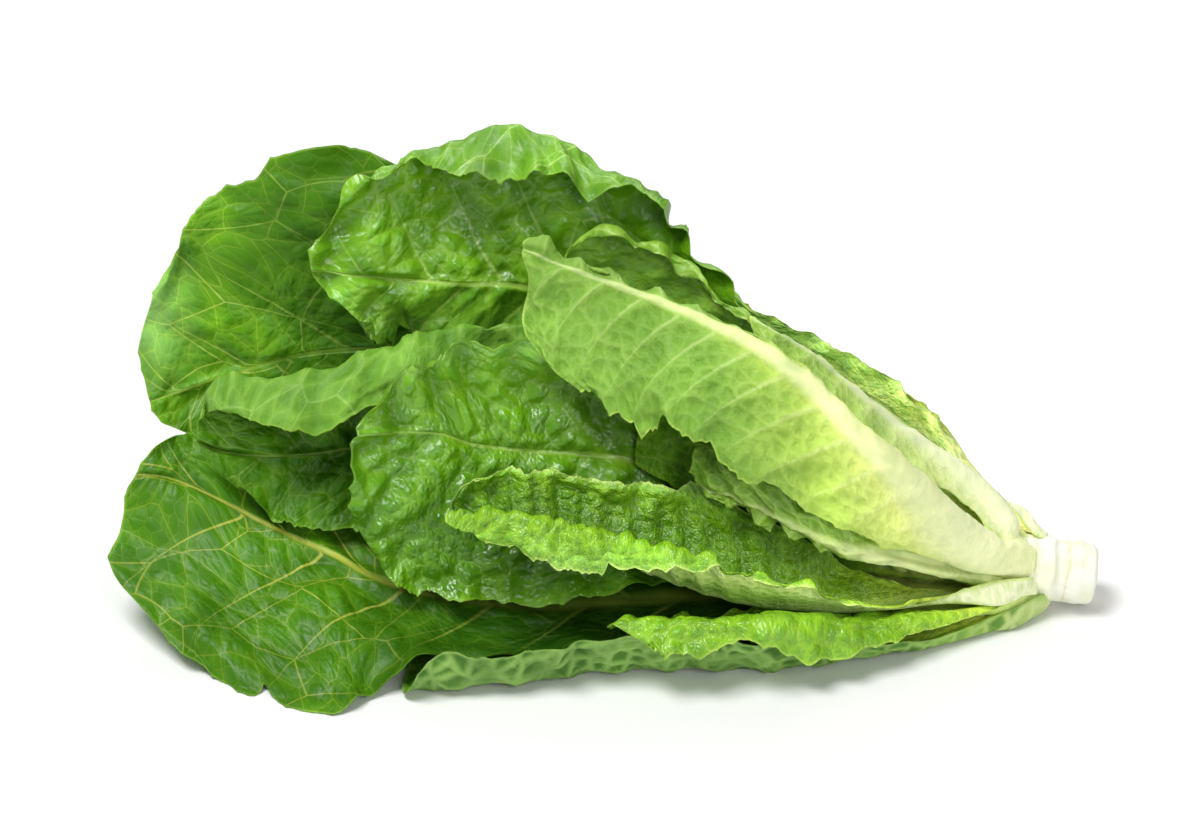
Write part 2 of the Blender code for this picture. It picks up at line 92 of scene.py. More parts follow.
LEAVES = {
    "tall_rear_leaf": leaf(
        138, 15, 38,
        ((112, 14, 36), (110, 19, 22), (108, 18, 9)),
        ((62, 32, 72), (60, 40, 42), (60, 38, 13)),
        ((0, 62, 104), (0, 56, 58), (0, 48, 16)),
        ((-58, 77, 126), (-52, 62, 63), (-52, 50, 18)),
        ((-94, 82, 137), (-82, 64, 64), (-82, 50, 20)),
        ((-128, 79, 127), (-108, 64, 61), (-110, 49, 23)),
        ((-153, 72, 100), (-134, 62, 53), (-133, 49, 28)),
        ((-164, 64, 76), (-159, 58, 46), (-152, 52, 37)),
    ),
    "upper_leaf": leaf(
        132, 56, 38,
        ((112, 4, 37), (112, 8, 36), (113, 12, 32), (114, 16, 25), (112, 17, 15)),
        ((78, 16, 66), (78, 21, 66), (79, 27, 55), (80, 28, 42), (78, 26, 18)),
        ((42, 31, 102), (42, 37, 103), (41, 42, 84), (40, 42, 63), (40, 36, 26)),
        ((10, 42, 122), (15, 54, 122), (6, 55, 102), (0, 50, 80), (0, 42, 38)),
        ((-14, 43, 134), (-12, 64, 142), (-18, 62, 113), (-22, 54, 91), (-25, 44, 48)),
        ((-38, 45, 139), (-36, 67, 147), (-42, 63, 117), (-48, 52, 95), (-52, 45, 56)),
        ((-64, 46, 138), (-61, 61, 139), (-67, 58, 118), (-74, 50, 100), (-78, 43, 62)),
        ((-80, 54, 141), (-90, 50, 134), (-97, 45, 119), (-102, 40, 109), (-97, 41, 80)),
    ),
    "upper_inner_leaf": leaf(
        124, 85, 38,
        ((106, 2, 42), (106, 6, 43), (106, 10, 40), (105, 11, 35)),
        ((76, 10, 72), (76, 14, 74), (76, 20, 66), (74, 23, 54)),
        ((50, 19, 98), (50, 25, 101), (46, 33, 86), (44, 35, 66)),
        ((29, 28, 113), (31, 36, 118), (22, 43, 98), (18, 43, 76)),
        ((9, 34, 120), (7, 40, 124), (0, 47, 102), (-4, 46, 82)),
        ((-10, 38, 116), (-13, 42, 118), (-16, 49, 102), (-20, 48, 86)),
    ),
    "flopped_leaf": leaf(
        141, 135, 34,
        ((122, -14, 22), (125, -15, 27), (128, -11, 31), (129, -6, 31)),
        ((96, -26, 35), (102, -25, 44), (108, -18, 54), (108, -11, 54)),
        ((72, -31, 48), (81, -28, 60), (88, -20, 77), (88, -12, 76)),
        ((50, -32, 62), (60, -25, 80), (68, -13, 96), (68, -5, 94)),
        ((30, -24, 75), (38, -14, 94), (45, -2, 107), (46, 7, 100)),
        ((8, -17, 73), (11, -3, 97), (15, 12, 115), (16, 20, 108)),
        ((-14, -4, 83), (-12, 9, 104), (-10, 21, 120), (-9, 26, 114)),
        ((-28, 4, 92), (-31, 18, 110), (-30, 28, 126), (-24, 30, 122)),
    ),
    "ribbed_inner_leaf": leaf(
        133, 165, 34,
        ((116, -14, 18), (118, -12, 23), (116, -7, 28)),
        ((99, -22, 26), (101, -20, 33), (100, -13, 42)),
        ((80, -26, 30), (77, -24, 46), (76, -15, 58)),
        ((62, -22, 37), (53, -21, 60), (54, -11, 70)),
        ((46, -16, 44), (39, -14, 61), (40, -5, 70)),
        ((33, -9, 50), (28, -7, 58), (30, 0, 67)),
    ),
    "top_outer_leaf": leaf(
        139, 107, 27,
        ((124, -3, 37), (126, 8, 43), (122, 17, 39)),
        ((102, -2, 50), (100, 13, 62), (100, 22, 56)),
        ((78, 2, 70), (74, 16, 86), (76, 26, 76)),
        ((60, 6, 84), (56, 15, 99), (58, 24, 88)),
        ((54, 9, 93), (49, 16, 103), (52, 22, 96)),
    ),
    "rear_ragged_leaf": leaf(
        141, 56, 23,
        ((126, 14, 46), (128, 14, 34), (126, 17, 20)),
        ((116, 20, 64), (112, 24, 48), (108, 26, 28)),
        ((104, 23, 75), (96, 30, 60), (88, 33, 34)),
        ((84, 26, 84), (76, 33, 72), (66, 38, 44)),
        ((62, 29, 93), (54, 37, 84), (46, 43, 54)),
        ((40, 32, 104), (32, 41, 94), (26, 49, 62)),
    ),
    "rear_outer_leaf": leaf(
        146.5, 48, 34,
        ((135, 15, 38), (131, 21, 24), (128, 18, 9)),
        ((119, 27, 60), (108, 35, 40), (104, 31, 12)),
        ((100, 33, 71), (84, 44, 52), (78, 44, 14)),
        ((78, 35, 81), (54, 52, 64), (46, 55, 20)),
        ((48, 42, 96), (18, 64, 76), (10, 66, 32)),
        ((24, 59, 102), (-6, 71, 86), (-10, 71, 60)),
    ),
    "rear_low_leaf": leaf(
        147, 5, 32,
        ((118, 27, 26), (118, 27, 14), (117, 22, 3)),
        ((85, 49, 42), (84, 50, 20), (84, 44, 1)),
        ((45, 62, 56), (44, 63, 26), (44, 56, 0)),
        ((0, 74, 66), (0, 74, 31), (0, 65, 0)),
        ((-40, 81, 62), (-42, 80, 35), (-40, 71, 5)),
        ((-58, 82, 52), (-66, 80, 38), (-60, 75, 20)),
    ),
    "under_leaf": leaf(
        145.5, 328, 25,
        ((114, 19, 9), (114, 15, 5), (114, 9, 3)),
        ((80, 34, 13), (80, 25, 2), (80, 13, 1)),
        ((35, 46, 13), (35, 34, 1), (35, 16, 0)),
        ((-10, 54, 13), (-10, 38, 0), (-10, 16, 0)),
        ((-50, 58, 14), (-50, 40, 0), (-48, 16, 0)),
        ((-80, 56, 10), (-87, 42, 1), (-80, 20, 0)),
    ),
    "floor_leaf": leaf(
        147, 228, 33,
        ((118, 4, 4), (119, -6, 2), (118, -21, 1), (118, -28, 8)),
        ((88, 6, 3), (88, -10, 2), (87, -34, 1), (88, -44, 15)),
        ((45, 8, 2), (45, -14, 1), (45, -42, 1), (46, -53, 21)),
        ((0, 8, 2), (0, -16, 1), (0, -44, 1), (0, -55, 24)),
        ((-30, 5, 2), (-30, -18, 1), (-28, -50, 1), (-28, -59, 19)),
        ((-52, 0, 2), (-54, -22, 1), (-56, -54, 1), (-56, -62, 21)),
        ((-58, -8, 2), (-62, -26, 1), (-66, -54, 1), (-63, -63, 14)),
    ),
    "low_left_leaf": leaf(
        144.5, 285, 29,
        ((98, 14, 8), (99, 10, 6), (100, 4, 5), (100, -2, 5), (98, -9, 6)),
        ((60, 24, 15), (60, 12, 8), (60, -2, 5), (60, -16, 5), (60, -28, 6)),
        ((15, 32, 26), (15, 14, 12), (15, -9, 6), (15, -26, 5), (15, -40, 7)),
        ((-30, 36, 38), (-28, 14, 20), (-28, -15, 8), (-30, -34, 5), (-32, -50, 6)),
        ((-66, 38, 46), (-66, 16, 28), (-67, -15, 15), (-68, -40, 7), (-68, -58, 3)),
        ((-96, 36, 53), (-92, 16, 35), (-90, -8, 23), (-90, -42, 11), (-86, -73, 0)),
        ((-122, 32, 58), (-117, 18, 44), (-115, 0, 30), (-115, -36, 12), (-115, -65, 0)),
        ((-140, 26, 60), (-139, 18, 50), (-140, 8, 40), (-141, -20, 20), (-138, -46, 3)),
        ((-149, 20, 55), (-154, 15, 51), (-160, 8, 45), (-168, -9, 28), (-161, -31, 9)),
    ),
    "folded_leaf": leaf(
        126, 321, 38,
        ((104, 6, 29), (104, 8, 28), (104, 10, 22), (103, 8, 15), (102, 5, 12)),
        ((70, 13, 51), (70, 17, 50), (70, 20, 38), (70, 18, 22), (70, 6, 12)),
        ((30, 20, 73), (30, 25, 74), (30, 28, 54), (30, 24, 30), (30, 4, 12)),
        ((-10, 25, 86), (-10, 31, 90), (-10, 34, 64), (-10, 24, 38), (-12, 0, 15)),
        ((-44, 21, 82), (-45, 28, 92), (-46, 32, 68), (-46, 20, 44), (-50, -3, 20)),
        ((-72, 5, 73), (-74, 20, 88), (-76, 25, 64), (-78, 13, 44), (-82, -6, 24)),
        ((-98, -8, 67), (-102, 14, 81), (-102, 16, 60), (-104, 8, 46), (-106, -6, 27)),
        ((-118, -7, 66), (-127, 11, 79), (-126, 10, 62), (-126, 5, 52), (-122, -3, 38)),
        ((-130, 0, 68), (-136, 6, 72), (-138, 6, 66), (-137, 4, 60), (-134, 1, 52)),
    ),
    "middle_leaf": leaf(
        120, 310, 40,
        ((100, 1, 28), (100, 4, 25), (100, 4, 18), (100, 0, 14), (100, -5, 13)),
        ((70, 7, 48), (70, 11, 40), (70, 9, 29), (70, 1, 20), (70, -8, 15)),
        ((35, 13, 72), (35, 17, 57), (35, 12, 41), (35, 0, 25), (35, -14, 15)),
        ((2, 14, 92), (0, 17, 70), (0, 11, 48), (0, -4, 26), (-2, -20, 12)),
        ((-32, 9, 99), (-36, 12, 76), (-37, 5, 54), (-38, -9, 30), (-40, -24, 12)),
        ((-54, 4, 98), (-56, 5, 80), (-58, -1, 64), (-62, -13, 38), (-66, -23, 15)),
        ((-68, -2, 91), (-77, -6, 80), (-83, -11, 69), (-85, -15, 48), (-81, -20, 24)),
    ),
    "boat_leaf": leaf(
        142, 195, 30,
        ((118, -8, 10), (118, -12, 11), (118, -16, 12), (117, -20, 15), (116, -21, 20)),
        ((94, -9, 18), (95, -16, 15), (96, -26, 13), (95, -34, 20), (95, -37, 19)),
        ((67, -5, 33), (68, -13, 25), (68, -29, 16), (67, -40, 33), (67, -46, 26)),
        ((35, -2, 50), (35, -10, 37), (35, -26, 24), (34, -41, 45), (36, -49, 38)),
        ((8, -8, 58), (5, -13, 46), (3, -24, 35), (2, -39, 51), (2, -49, 36)),
        ((-20, -12, 64), (-20, -14, 54), (-20, -24, 44), (-18, -36, 55), (-20, -46, 38)),
        ((-38, -15, 64), (-41, -18, 58), (-42, -26, 52), (-43, -33, 56), (-46, -38, 42)),
        ((-44, -18, 62), (-48, -22, 60), (-50, -27, 57), (-50, -31, 54), (-50, -35, 47)),
    ),
    "bright_lower_leaf": leaf(
        143, 222, 29,
        ((117, -7, 6), (118, -14, 7), (118, -25, 12), (116, -32, 9)),
        ((96, -6, 9), (98, -16, 9), (100, -35, 19), (99, -46, 9)),
        ((66, -12, 9), (67, -24, 9), (67, -47, 24), (69, -57, 11)),
        ((45, -15, 9), (46, -27, 10), (46, -52, 27), (47, -57, 20)),
        ((28, -17, 9), (28, -30, 11), (27, -52, 28), (26, -60, 13)),
        ((8, -22, 9), (4, -34, 14), (0, -50, 26), (-3, -55, 23)),
    ),
    "heart_top_leaf": leaf(
        116, 120, 40,
        ((98, -9, 38), (98, -3, 43), (98, 4, 42)),
        ((70, -13, 64), (70, -6, 72), (70, 3, 70)),
        ((42, -11, 82), (42, -3, 90), (43, 6, 86)),
        ((24, -4, 86), (18, 5, 92), (23, 11, 86)),
    ),
    "heart_leaf_1": leaf(
        112, 345, 45,
        ((92, 6, 44), (92, 8, 34), (92, 0, 26)),
        ((65, 8, 62), (65, 10, 46), (65, -2, 32)),
        ((35, 6, 76), (36, 11, 56), (36, 2, 38)),
        ((18, 6, 78), (10, 10, 60), (14, 4, 44)),
    ),
    "heart_leaf_2": leaf(
        106, 165, 45,
        ((90, -6, 32), (90, -8, 40), (90, -2, 46)),
        ((66, -8, 44), (66, -8, 54), (66, -1, 62)),
        ((46, -6, 54), (40, -4, 62), (46, 2, 66)),
    ),
    "heart_bud": leaf(
        102, 170, 50,
        ((87, -3, 26), (86, -5, 31), (86, -2, 35)),
        ((72, -2, 34), (70, -4, 40), (72, -1, 43)),
        ((62, -1, 42), (58, -2, 47), (61, 0, 50)),
    ),
}

# Leaves of which one is folded over the other, so that it lies on both of its faces.
FOLDED_PAIRS = (
    {"bright_lower_leaf", "floor_leaf"},
    {"folded_leaf", "middle_leaf"},
    {"boat_leaf", "ribbed_inner_leaf"},
    {"boat_leaf", "flopped_leaf"},
)


def stem_centre(x):
    """The stem's axis at x."""
    return np.array((x, 0.0, STEM_END_Z + (STEM_END_X - x) * STEM_RISE))


def stem_radius(x):
    """The stem's radius at x."""
    along = [distance for distance, _ in STEM_PROFILE]
    radii = [radius for _, radius in STEM_PROFILE]
    return float(np.interp(STEM_END_X - x, along, radii))


def stem_arc(description, x, radius, count):
    """A row of points on an arc around the stem's axis at x, on the side where the leaf grows."""
    centre = stem_centre(x)
    middle = math.radians(description["angle"])
    spread = math.radians(description["spread"])
    angles = np.linspace(middle + spread, middle - spread, count)
    return [centre + radius * np.array((0.0, math.cos(a), math.sin(a))) for a in angles]


def collar_row(description, count):
    """The leaf's first row: an arc around the stem where the leaf grows."""
    x = description["grows_at"]
    return stem_arc(description, x, stem_radius(x) + LEAF_THICKNESS / 2 + STEM_GAP, count)


def smooth_through(points, count):
    """Evenly spaced points on the Catmull-Rom curve through the given ones, along axis 0."""
    before = 2 * points[:1] - points[1:2]
    after = 2 * points[-1:] - points[-2:-1]
    padded = np.concatenate((before, points, after))
    place = np.linspace(0, len(points) - 1, count)
    start = np.minimum(place.astype(int), len(points) - 2)
    t = (place - start).reshape((-1,) + (1,) * (points.ndim - 1))
    p0, p1, p2, p3 = (padded[start + k] for k in range(4))
    return 0.5 * (
        2 * p1
        + (p2 - p0) * t
        + (2 * p0 - 5 * p1 + 4 * p2 - p3) * t ** 2
        + (3 * p1 - p0 - 3 * p2 + p3) * t ** 3
    )


def leaf_grid(description):
    """The leaf's middle surface as a grid of ROWS x COLUMNS points, in millimetres."""
    rows = description["rows"]
    cage = np.array([collar_row(description, len(rows[0])), *rows], float)
    along = smooth_through(cage, ROWS)
    return smooth_through(along.transpose(1, 0, 2), COLUMNS).transpose(1, 0, 2)


def grid_triangles():
    """The triangles of a grid, as indices of its points."""
    found = []
    for i in range(ROWS - 1):
        for j in range(COLUMNS - 1):
            a = i * COLUMNS + j
            b = a + COLUMNS
            found.append((a, b, b + 1))
            found.append((a, b + 1, a + 1))
    return found


def side_of(grid, others, triangles):
    """For each point of a leaf, the side of the other leaf that it lies on: +1, -1 or 0."""
    tree = BVHTree.FromPolygons([Vector(p) for p in others.reshape(-1, 3)], triangles)
    signed = np.zeros(grid.shape[:2])
    for i in range(grid.shape[0]):
        for j in range(grid.shape[1]):
            point = Vector(grid[i, j])
            spot, normal, _, distance = tree.find_nearest(point, 2 * REACH)
            if spot is not None and distance > 0:
                offset = (point - spot).dot(normal)
                if abs(offset) > FACES_CLEARLY * distance:
                    signed[i, j] = max(-REACH, min(offset, REACH))
    return signed


def smoothed(field):
    """Each point's value averaged with its eight neighbours'."""
    padded = np.pad(field, 1, mode="edge")
    height, width = field.shape
    total = sum(padded[i:i + height, j:j + width] for i in range(3) for j in range(3))
    return total / 9


def sides_to_keep(one, other, grids, triangles):
    """The side of the other leaf (+1 its inner face, -1 its outer face, 0 either) on which each
    point of the one leaf stays. Near the stem the leaf that grows further down is the outer one;
    further out a leaf stays on the side where most of it lies."""
    signed = side_of(grids[one], grids[other], triangles)
    outer_rows = signed[BASE_ROWS:]
    side = np.full(signed.shape, np.sign(outer_rows.sum()))
    if {one, other} in FOLDED_PAIRS:
        side = np.where(signed == 0, side, np.sign(smoothed(signed)))
    turn = abs(LEAVES[one]["angle"] - LEAVES[other]["angle"]) % 360
    if min(turn, 360 - turn) > OPPOSITE_TURN:
        side[:BASE_ROWS] = 0
    else:
        side[:BASE_ROWS] = np.sign(LEAVES[other]["grows_at"] - LEAVES[one]["grows_at"])
    return side


def row_spacing():
    """The least distance to keep from a neighbour, for each row from the base to the tip."""
    free_part = np.clip(4 * np.linspace(0, 1, ROWS) - 0.6, 0, 1)
    return BASE_SPACING + (LEAF_SPACING - BASE_SPACING) * free_part


def push_apart(one, other, grids, side, triangles, pushes, counts):
    """Adds up the pushes that keep the one leaf's points on their side of the other leaf."""
    corners = [Vector(p) for p in grids[other].reshape(-1, 3)]
    tree = BVHTree.FromPolygons(corners, triangles)
    low = grids[other].min(axis=(0, 1)) - REACH
    high = grids[other].max(axis=(0, 1)) + REACH
    grid = grids[one]
    spacing = row_spacing()
    near = ((grid > low) & (grid < high)).all(axis=2) & (side != 0)
    for i, j in zip(*np.nonzero(near)):
        point = Vector(grid[i, j])
        spot, normal, index, distance = tree.find_nearest(point, REACH)
        if spot is None:
            continue
        offset = side[i, j] * (point - spot).dot(normal)
        if abs(offset) < FACES_AT_ALL * distance or offset > spacing[i]:
            continue
        push = np.array(normal) * side[i, j] * min(spacing[i] - offset, LONGEST_PUSH) / 2
        pushes[one][i, j] += push
        counts[one][i, j] += 1
        for corner in triangles[index]:
            row, column = divmod(corner, COLUMNS)
            pushes[other][row, column] -= push / 3
            counts[other][row, column] += 1 / 3


def settle(grids):
    """Moves the leaves apart, little by little over a set number of rounds, and keeps them above the
    ground and outside the stem."""
    triangles = grid_triangles()
    pairs = [(one, other) for other in grids for one in grids if one != other]
    sides = {(one, other): sides_to_keep(one, other, grids, triangles) for one, other in pairs}
    start = {name: grid.copy() for name, grid in grids.items()}
    moved = {name: np.zeros_like(grid) for name, grid in grids.items()}
    for _ in range(SETTLE_ROUNDS):
        pushes = {name: np.zeros_like(grid) for name, grid in grids.items()}
        counts = {name: np.zeros(grid.shape[:2]) for name, grid in grids.items()}
        for one, other in pairs:
            push_apart(one, other, grids, sides[one, other], triangles, pushes, counts)
        for name in grids:
            step = pushes[name] / np.maximum(counts[name], 1)[:, :, None]
            moved[name] = spread_out(moved[name] + step)
            grids[name] = off_ground_and_stem(start[name] + moved[name])
            moved[name] = grids[name] - start[name]
    return grids


def spread_out(field):
    """Blends each point's shift a little with its neighbours', so that a leaf bends smoothly."""
    padded = np.pad(field, ((1, 1), (1, 1), (0, 0)), mode="edge")
    around = (padded[:-2, 1:-1] + padded[2:, 1:-1] + padded[1:-1, :-2] + padded[1:-1, 2:]) / 4
    return field * (1 - BEND_SHARE) + around * BEND_SHARE


def off_ground_and_stem(grid):
    """Keeps a leaf's points above the ground and outside the stem."""
    grid = grid.copy()
    grid[:, :, 2] = np.maximum(grid[:, :, 2], LOWEST_MIDDLE)
    for i in range(grid.shape[0]):
        for j in range(grid.shape[1]):
            point = grid[i, j]
            centre = stem_centre(point[0])
            away = point - centre
            distance = np.linalg.norm(away)
            least = stem_radius(point[0]) + LEAF_THICKNESS / 2 + STEM_GAP
            if point[0] > STEM_END_X - STEM_LENGTH and distance < least:
                grid[i, j] = centre + away * (least / distance)
    return grid


# ---- what each leaf looks like ----

DARK, OCHRE, LEAF, FRESH, LIGHT, GREY, PALE, HEART = range(8)
# Colours of each palette, first those of the inner face, then those of the outer face: four from
# the base of the blade to its full green, and the one of the rib and the veins.
PALETTES = {
    DARK: (
        ((0.60, 0.72, 0.24), (0.40, 0.60, 0.06), (0.20, 0.45, 0.010), (0.122, 0.345, 0.005),
         (0.48, 0.68, 0.120)),
        ((0.70, 0.76, 0.30), (0.48, 0.66, 0.10), (0.22, 0.45, 0.020), (0.150, 0.365, 0.012),
         (0.62, 0.78, 0.260)),
    ),
    OCHRE: (
        ((0.44, 0.66, 0.14), (0.28, 0.50, 0.04), (0.10, 0.29, 0.005), (0.050, 0.182, 0.002),
         (0.68, 0.66, 0.110)),
        ((0.70, 0.76, 0.30), (0.44, 0.60, 0.10), (0.22, 0.43, 0.030), (0.150, 0.350, 0.018),
         (0.50, 0.66, 0.180)),
    ),
    LEAF: (
        ((0.68, 0.72, 0.26), (0.42, 0.60, 0.05), (0.17, 0.43, 0.008), (0.092, 0.285, 0.004),
         (0.58, 0.70, 0.120)),
        ((0.72, 0.78, 0.32), (0.46, 0.62, 0.10), (0.27, 0.48, 0.040), (0.195, 0.415, 0.042),
         (0.42, 0.64, 0.160)),
    ),
    FRESH: (
        ((0.72, 0.82, 0.34), (0.48, 0.68, 0.08), (0.26, 0.51, 0.018), (0.160, 0.390, 0.007),
         (0.44, 0.68, 0.090)),
        ((0.84, 0.90, 0.48), (0.68, 0.82, 0.22), (0.44, 0.66, 0.080), (0.270, 0.510, 0.032),
         (0.76, 0.86, 0.360)),
    ),
    LIGHT: (
        ((0.74, 0.80, 0.30), (0.48, 0.66, 0.06), (0.24, 0.47, 0.020), (0.150, 0.350, 0.010),
         (0.72, 0.80, 0.360)),
        ((0.93, 0.95, 0.60), (0.78, 0.87, 0.25), (0.48, 0.68, 0.105), (0.215, 0.420, 0.050),
         (0.81, 0.88, 0.420)),
    ),
    GREY: (
        ((0.70, 0.74, 0.30), (0.40, 0.54, 0.08), (0.18, 0.36, 0.020), (0.100, 0.260, 0.010),
         (0.50, 0.66, 0.200)),
        ((0.74, 0.80, 0.40), (0.42, 0.58, 0.15), (0.28, 0.47, 0.100), (0.225, 0.400, 0.085),
         (0.40, 0.57, 0.180)),
    ),
    PALE: (
        ((0.84, 0.88, 0.52), (0.62, 0.78, 0.18), (0.40, 0.64, 0.06), (0.280, 0.530, 0.030),
         (0.78, 0.86, 0.400)),
        ((0.90, 0.92, 0.62), (0.76, 0.86, 0.33), (0.56, 0.75, 0.17), (0.400, 0.640, 0.090),
         (0.86, 0.91, 0.560)),
    ),
    HEART: (
        ((0.74, 0.80, 0.28), (0.46, 0.64, 0.06), (0.20, 0.44, 0.015), (0.110, 0.300, 0.007),
         (0.56, 0.70, 0.160)),
        ((0.80, 0.86, 0.36), (0.58, 0.72, 0.14), (0.34, 0.54, 0.045), (0.220, 0.420, 0.022),
         (0.66, 0.80, 0.280)),
    ),
}
# The pale colour that an inner face turns to where its painted light is strongest.
PAINTED_LIGHT_PALE = (0.42, 0.68, 0.30)  # what the lightest parts of an inner face turn to

# A look, in this order: the record's slot; the palette; points along and across; where the rib
# runs (share of the way across, at the base and at the tip); the rib's half width and height at
# its base; the spacing of the side veins and how far they lean to the tip; how strongly the side
# veins and the fine veins show, and how soft they are; the height of the blisters and of the slow
# waves; the height and length of the ruffles, the depth and length of the teeth and of the lobes;
# and the shares of the leaf's length at which the green begins and is full, and how much sooner
# at the margin. Heights, depths and lengths are in millimetres.
LOOK_PARTS = ("slot", "palette", "size", "rib", "rib_size", "veins", "show", "blister", "waves",
              "ruffle", "teeth", "lobes", "green")
LOOKS = {
    "tall_rear_leaf": (
        "outer_leaf", LEAF, (180, 106), (0.5, 0.5), (3.6, 4.0), (30, 0.95), (1.0, 1.4, 1.0),
        1.5, 3.6, (4.5, 34), (1.6, 7), (3.5, 34), (0.05, 0.40, 0.3)),
    "upper_leaf": (
        "outer_leaf", DARK, (184, 126), (0.68, 0.76), (3.6, 4.0), (26, 0.95), (1.0, 0.8, 1.1),
        3.2, 4.5, (6.0, 24), (3.4, 8), (6.0, 22), (0.05, 0.35, 0.3)),
    "upper_inner_leaf": (
        "outer_leaf", FRESH, (110, 70), (0.5, 0.5), (3.0, 3.0), (20, 0.70), (0.5, 0.5, 1.0),
        2.4, 3.0, (5.0, 20), (3.0, 8), (4.0, 20), (0.05, 0.40, 0.3)),
    "flopped_leaf": (
        "pale_leaf", LIGHT, (180, 100), (0.62, 0.62), (7.5, 3.5), (14, 0.85), (0.34, 0.14, 2.8),
        2.2, 2.4, (2.8, 20), (4.5, 9), (7.0, 24), (0.10, 0.66, 0.30)),
    "ribbed_inner_leaf": (
        "pale_leaf", FRESH, (110, 60), (0.34, 0.25), (6.5, 3.0), (10, 0.70), (0.3, 0.4, 1.6),
        2.0, 1.6, (3.6, 13), (3.0, 7), (4.0, 18), (0.16, 0.50, 0.4)),
    "top_outer_leaf": (
        "pale_leaf", PALE, (100, 56), (0.45, 0.5), (5.0, 3.0), (14, 0.80), (0.4, 0.4, 2.0),
        0.9, 1.4, (1.8, 20), (2.0, 8), (2.5, 22), (0.10, 0.85, 0.3)),
    "rear_ragged_leaf": (
        "bright_leaf", PALE, (100, 64), (0.5, 0.5), (4.0, 3.0), (15, 0.70), (0.5, 0.5, 1.0),
        0.7, 1.2, (2.6, 16), (5.0, 8), (5.0, 18), (0.20, 0.80, 0.4)),
    "rear_outer_leaf": (
        "pale_leaf", PALE, (110, 70), (0.5, 0.5), (5.0, 3.5), (18, 0.75), (0.4, 0.5, 1.6),
        1.2, 2.0, (2.4, 22), (3.0, 9), (3.5, 28), (0.20, 0.85, 0.3)),
    "rear_low_leaf": (
        "grey_leaf", GREY, (120, 64), (0.5, 0.5), (5.0, 4.0), (20, 0.75), (0.7, 0.8, 1.3),
        1.8, 2.4, (3.0, 24), (2.4, 9), (3.5, 30), (0.10, 0.60, 0.3)),
    "under_leaf": (
        "grey_leaf", GREY, (80, 40), (0.5, 0.5), (5.0, 3.0), (20, 0.75), (0.7, 0.8, 1.3),
        1.0, 1.5, (1.8, 22), (2.0, 9), (2.0, 30), (0.10, 0.60, 0.3)),
    "floor_leaf": (
        "grey_leaf", GREY, (150, 92), (0.33, 0.36), (5.0, 3.0), (17, 0.70), (0.4, 0.35, 2.0),
        2.0, 1.3, (2.2, 22), (2.0, 8), (2.0, 22), (0.02, 0.45, 0.3)),
    "low_left_leaf": (
        "outer_leaf", OCHRE, (196, 124), (0.5, 0.47), (7.0, 4.0), (32, 1.05), (1.0, 0.85, 1.0),
        1.8, 4.0, (4.6, 32), (1.8, 7), (5.0, 34), (0.14, 0.36, 0.3)),
    "folded_leaf": (
        "outer_leaf", LEAF, (170, 114), (0.62, 0.66), (1.6, 1.2), (22, 0.80), (0.55, 0.8, 1.3),
        2.2, 3.4, (4.0, 24), (1.6, 7), (5.0, 24), (0.05, 0.35, 0.3)),
    "middle_leaf": (
        "outer_leaf", DARK, (176, 116), (0.48, 0.45), (2.8, 3.5), (20, 0.75), (0.6, 0.4, 1.3),
        3.0, 4.0, (4.0, 20), (2.0, 7), (3.5, 20), (0.05, 0.35, 0.3)),
    "boat_leaf": (
        "bright_leaf", FRESH, (200, 106), (0.5, 0.5), (3.5, 3.5), (9, 0.20), (0.4, 0.16, 1.6),
        2.3, 2.5, (4.4, 20), (2.4, 7), (4.0, 18), (0.08, 0.50, 0.3)),
    "bright_lower_leaf": (
        "bright_leaf", FRESH, (150, 76), (0.35, 0.4), (5.0, 3.0), (13, 0.60), (0.4, 0.4, 1.5),
        2.0, 3.0, (3.2, 16), (3.4, 8), (3.2, 20), (0.05, 0.45, 0.5)),
    "heart_top_leaf": (
        "heart_leaf", DARK, (80, 46), (0.5, 0.5), (3.0, 3.0), (14, 0.70), (0.3, 0.3, 1.2),
        3.0, 2.8, (5.0, 12), (2.4, 7), (4.0, 16), (0.05, 0.50, 0.3)),
    "heart_leaf_1": (
        "heart_leaf", HEART, (66, 38), (0.5, 0.5), (3.0, 3.0), (14, 0.70), (0.5, 0.5, 1.2),
        1.6, 1.6, (2.4, 14), (2.0, 7), (2.0, 16), (0.20, 0.80, 0.3)),
    "heart_leaf_2": (
        "heart_leaf", HEART, (66, 38), (0.5, 0.5), (3.0, 3.0), (12, 0.70), (0.5, 0.5, 1.2),
        1.4, 1.4, (2.4, 12), (2.0, 7), (2.0, 14), (0.20, 0.90, 0.3)),
    "heart_bud": (
        "heart_leaf", HEART, (50, 32), (0.5, 0.5), (2.5, 2.0), (10, 0.70), (0.5, 0.5, 1.2),
        1.0, 1.0, (1.8, 10), (1.6, 6), (1.5, 12), (0.20, 1.0, 0.3)),
}
LOOKS = {name: dict(zip(LOOK_PARTS, values)) for name, values in LOOKS.items()}
# Leaves whose outer face has the colours of another palette.
OUTER_PALETTES = {"boat_leaf": PALE}
# How rough each palette's skin is at least; the dark leaves are the glossiest.
ROUGHNESS = {DARK: 0.27, FRESH: 0.30, LIGHT: 0.42}
OTHER_ROUGHNESS = 0.38
# How much light the skin mirrors: more on the glossy palettes.
GLOSSY = (DARK, FRESH)
FULL_GLOSS = 0.62
OTHER_GLOSS = 0.26
# How much darker the blade is between the veins of the outer face.
PILLOW_DEPTH = {GREY: 0.8, LIGHT: 0.20, PALE: 0.20}
OTHER_PILLOW_DEPTH = 0.6
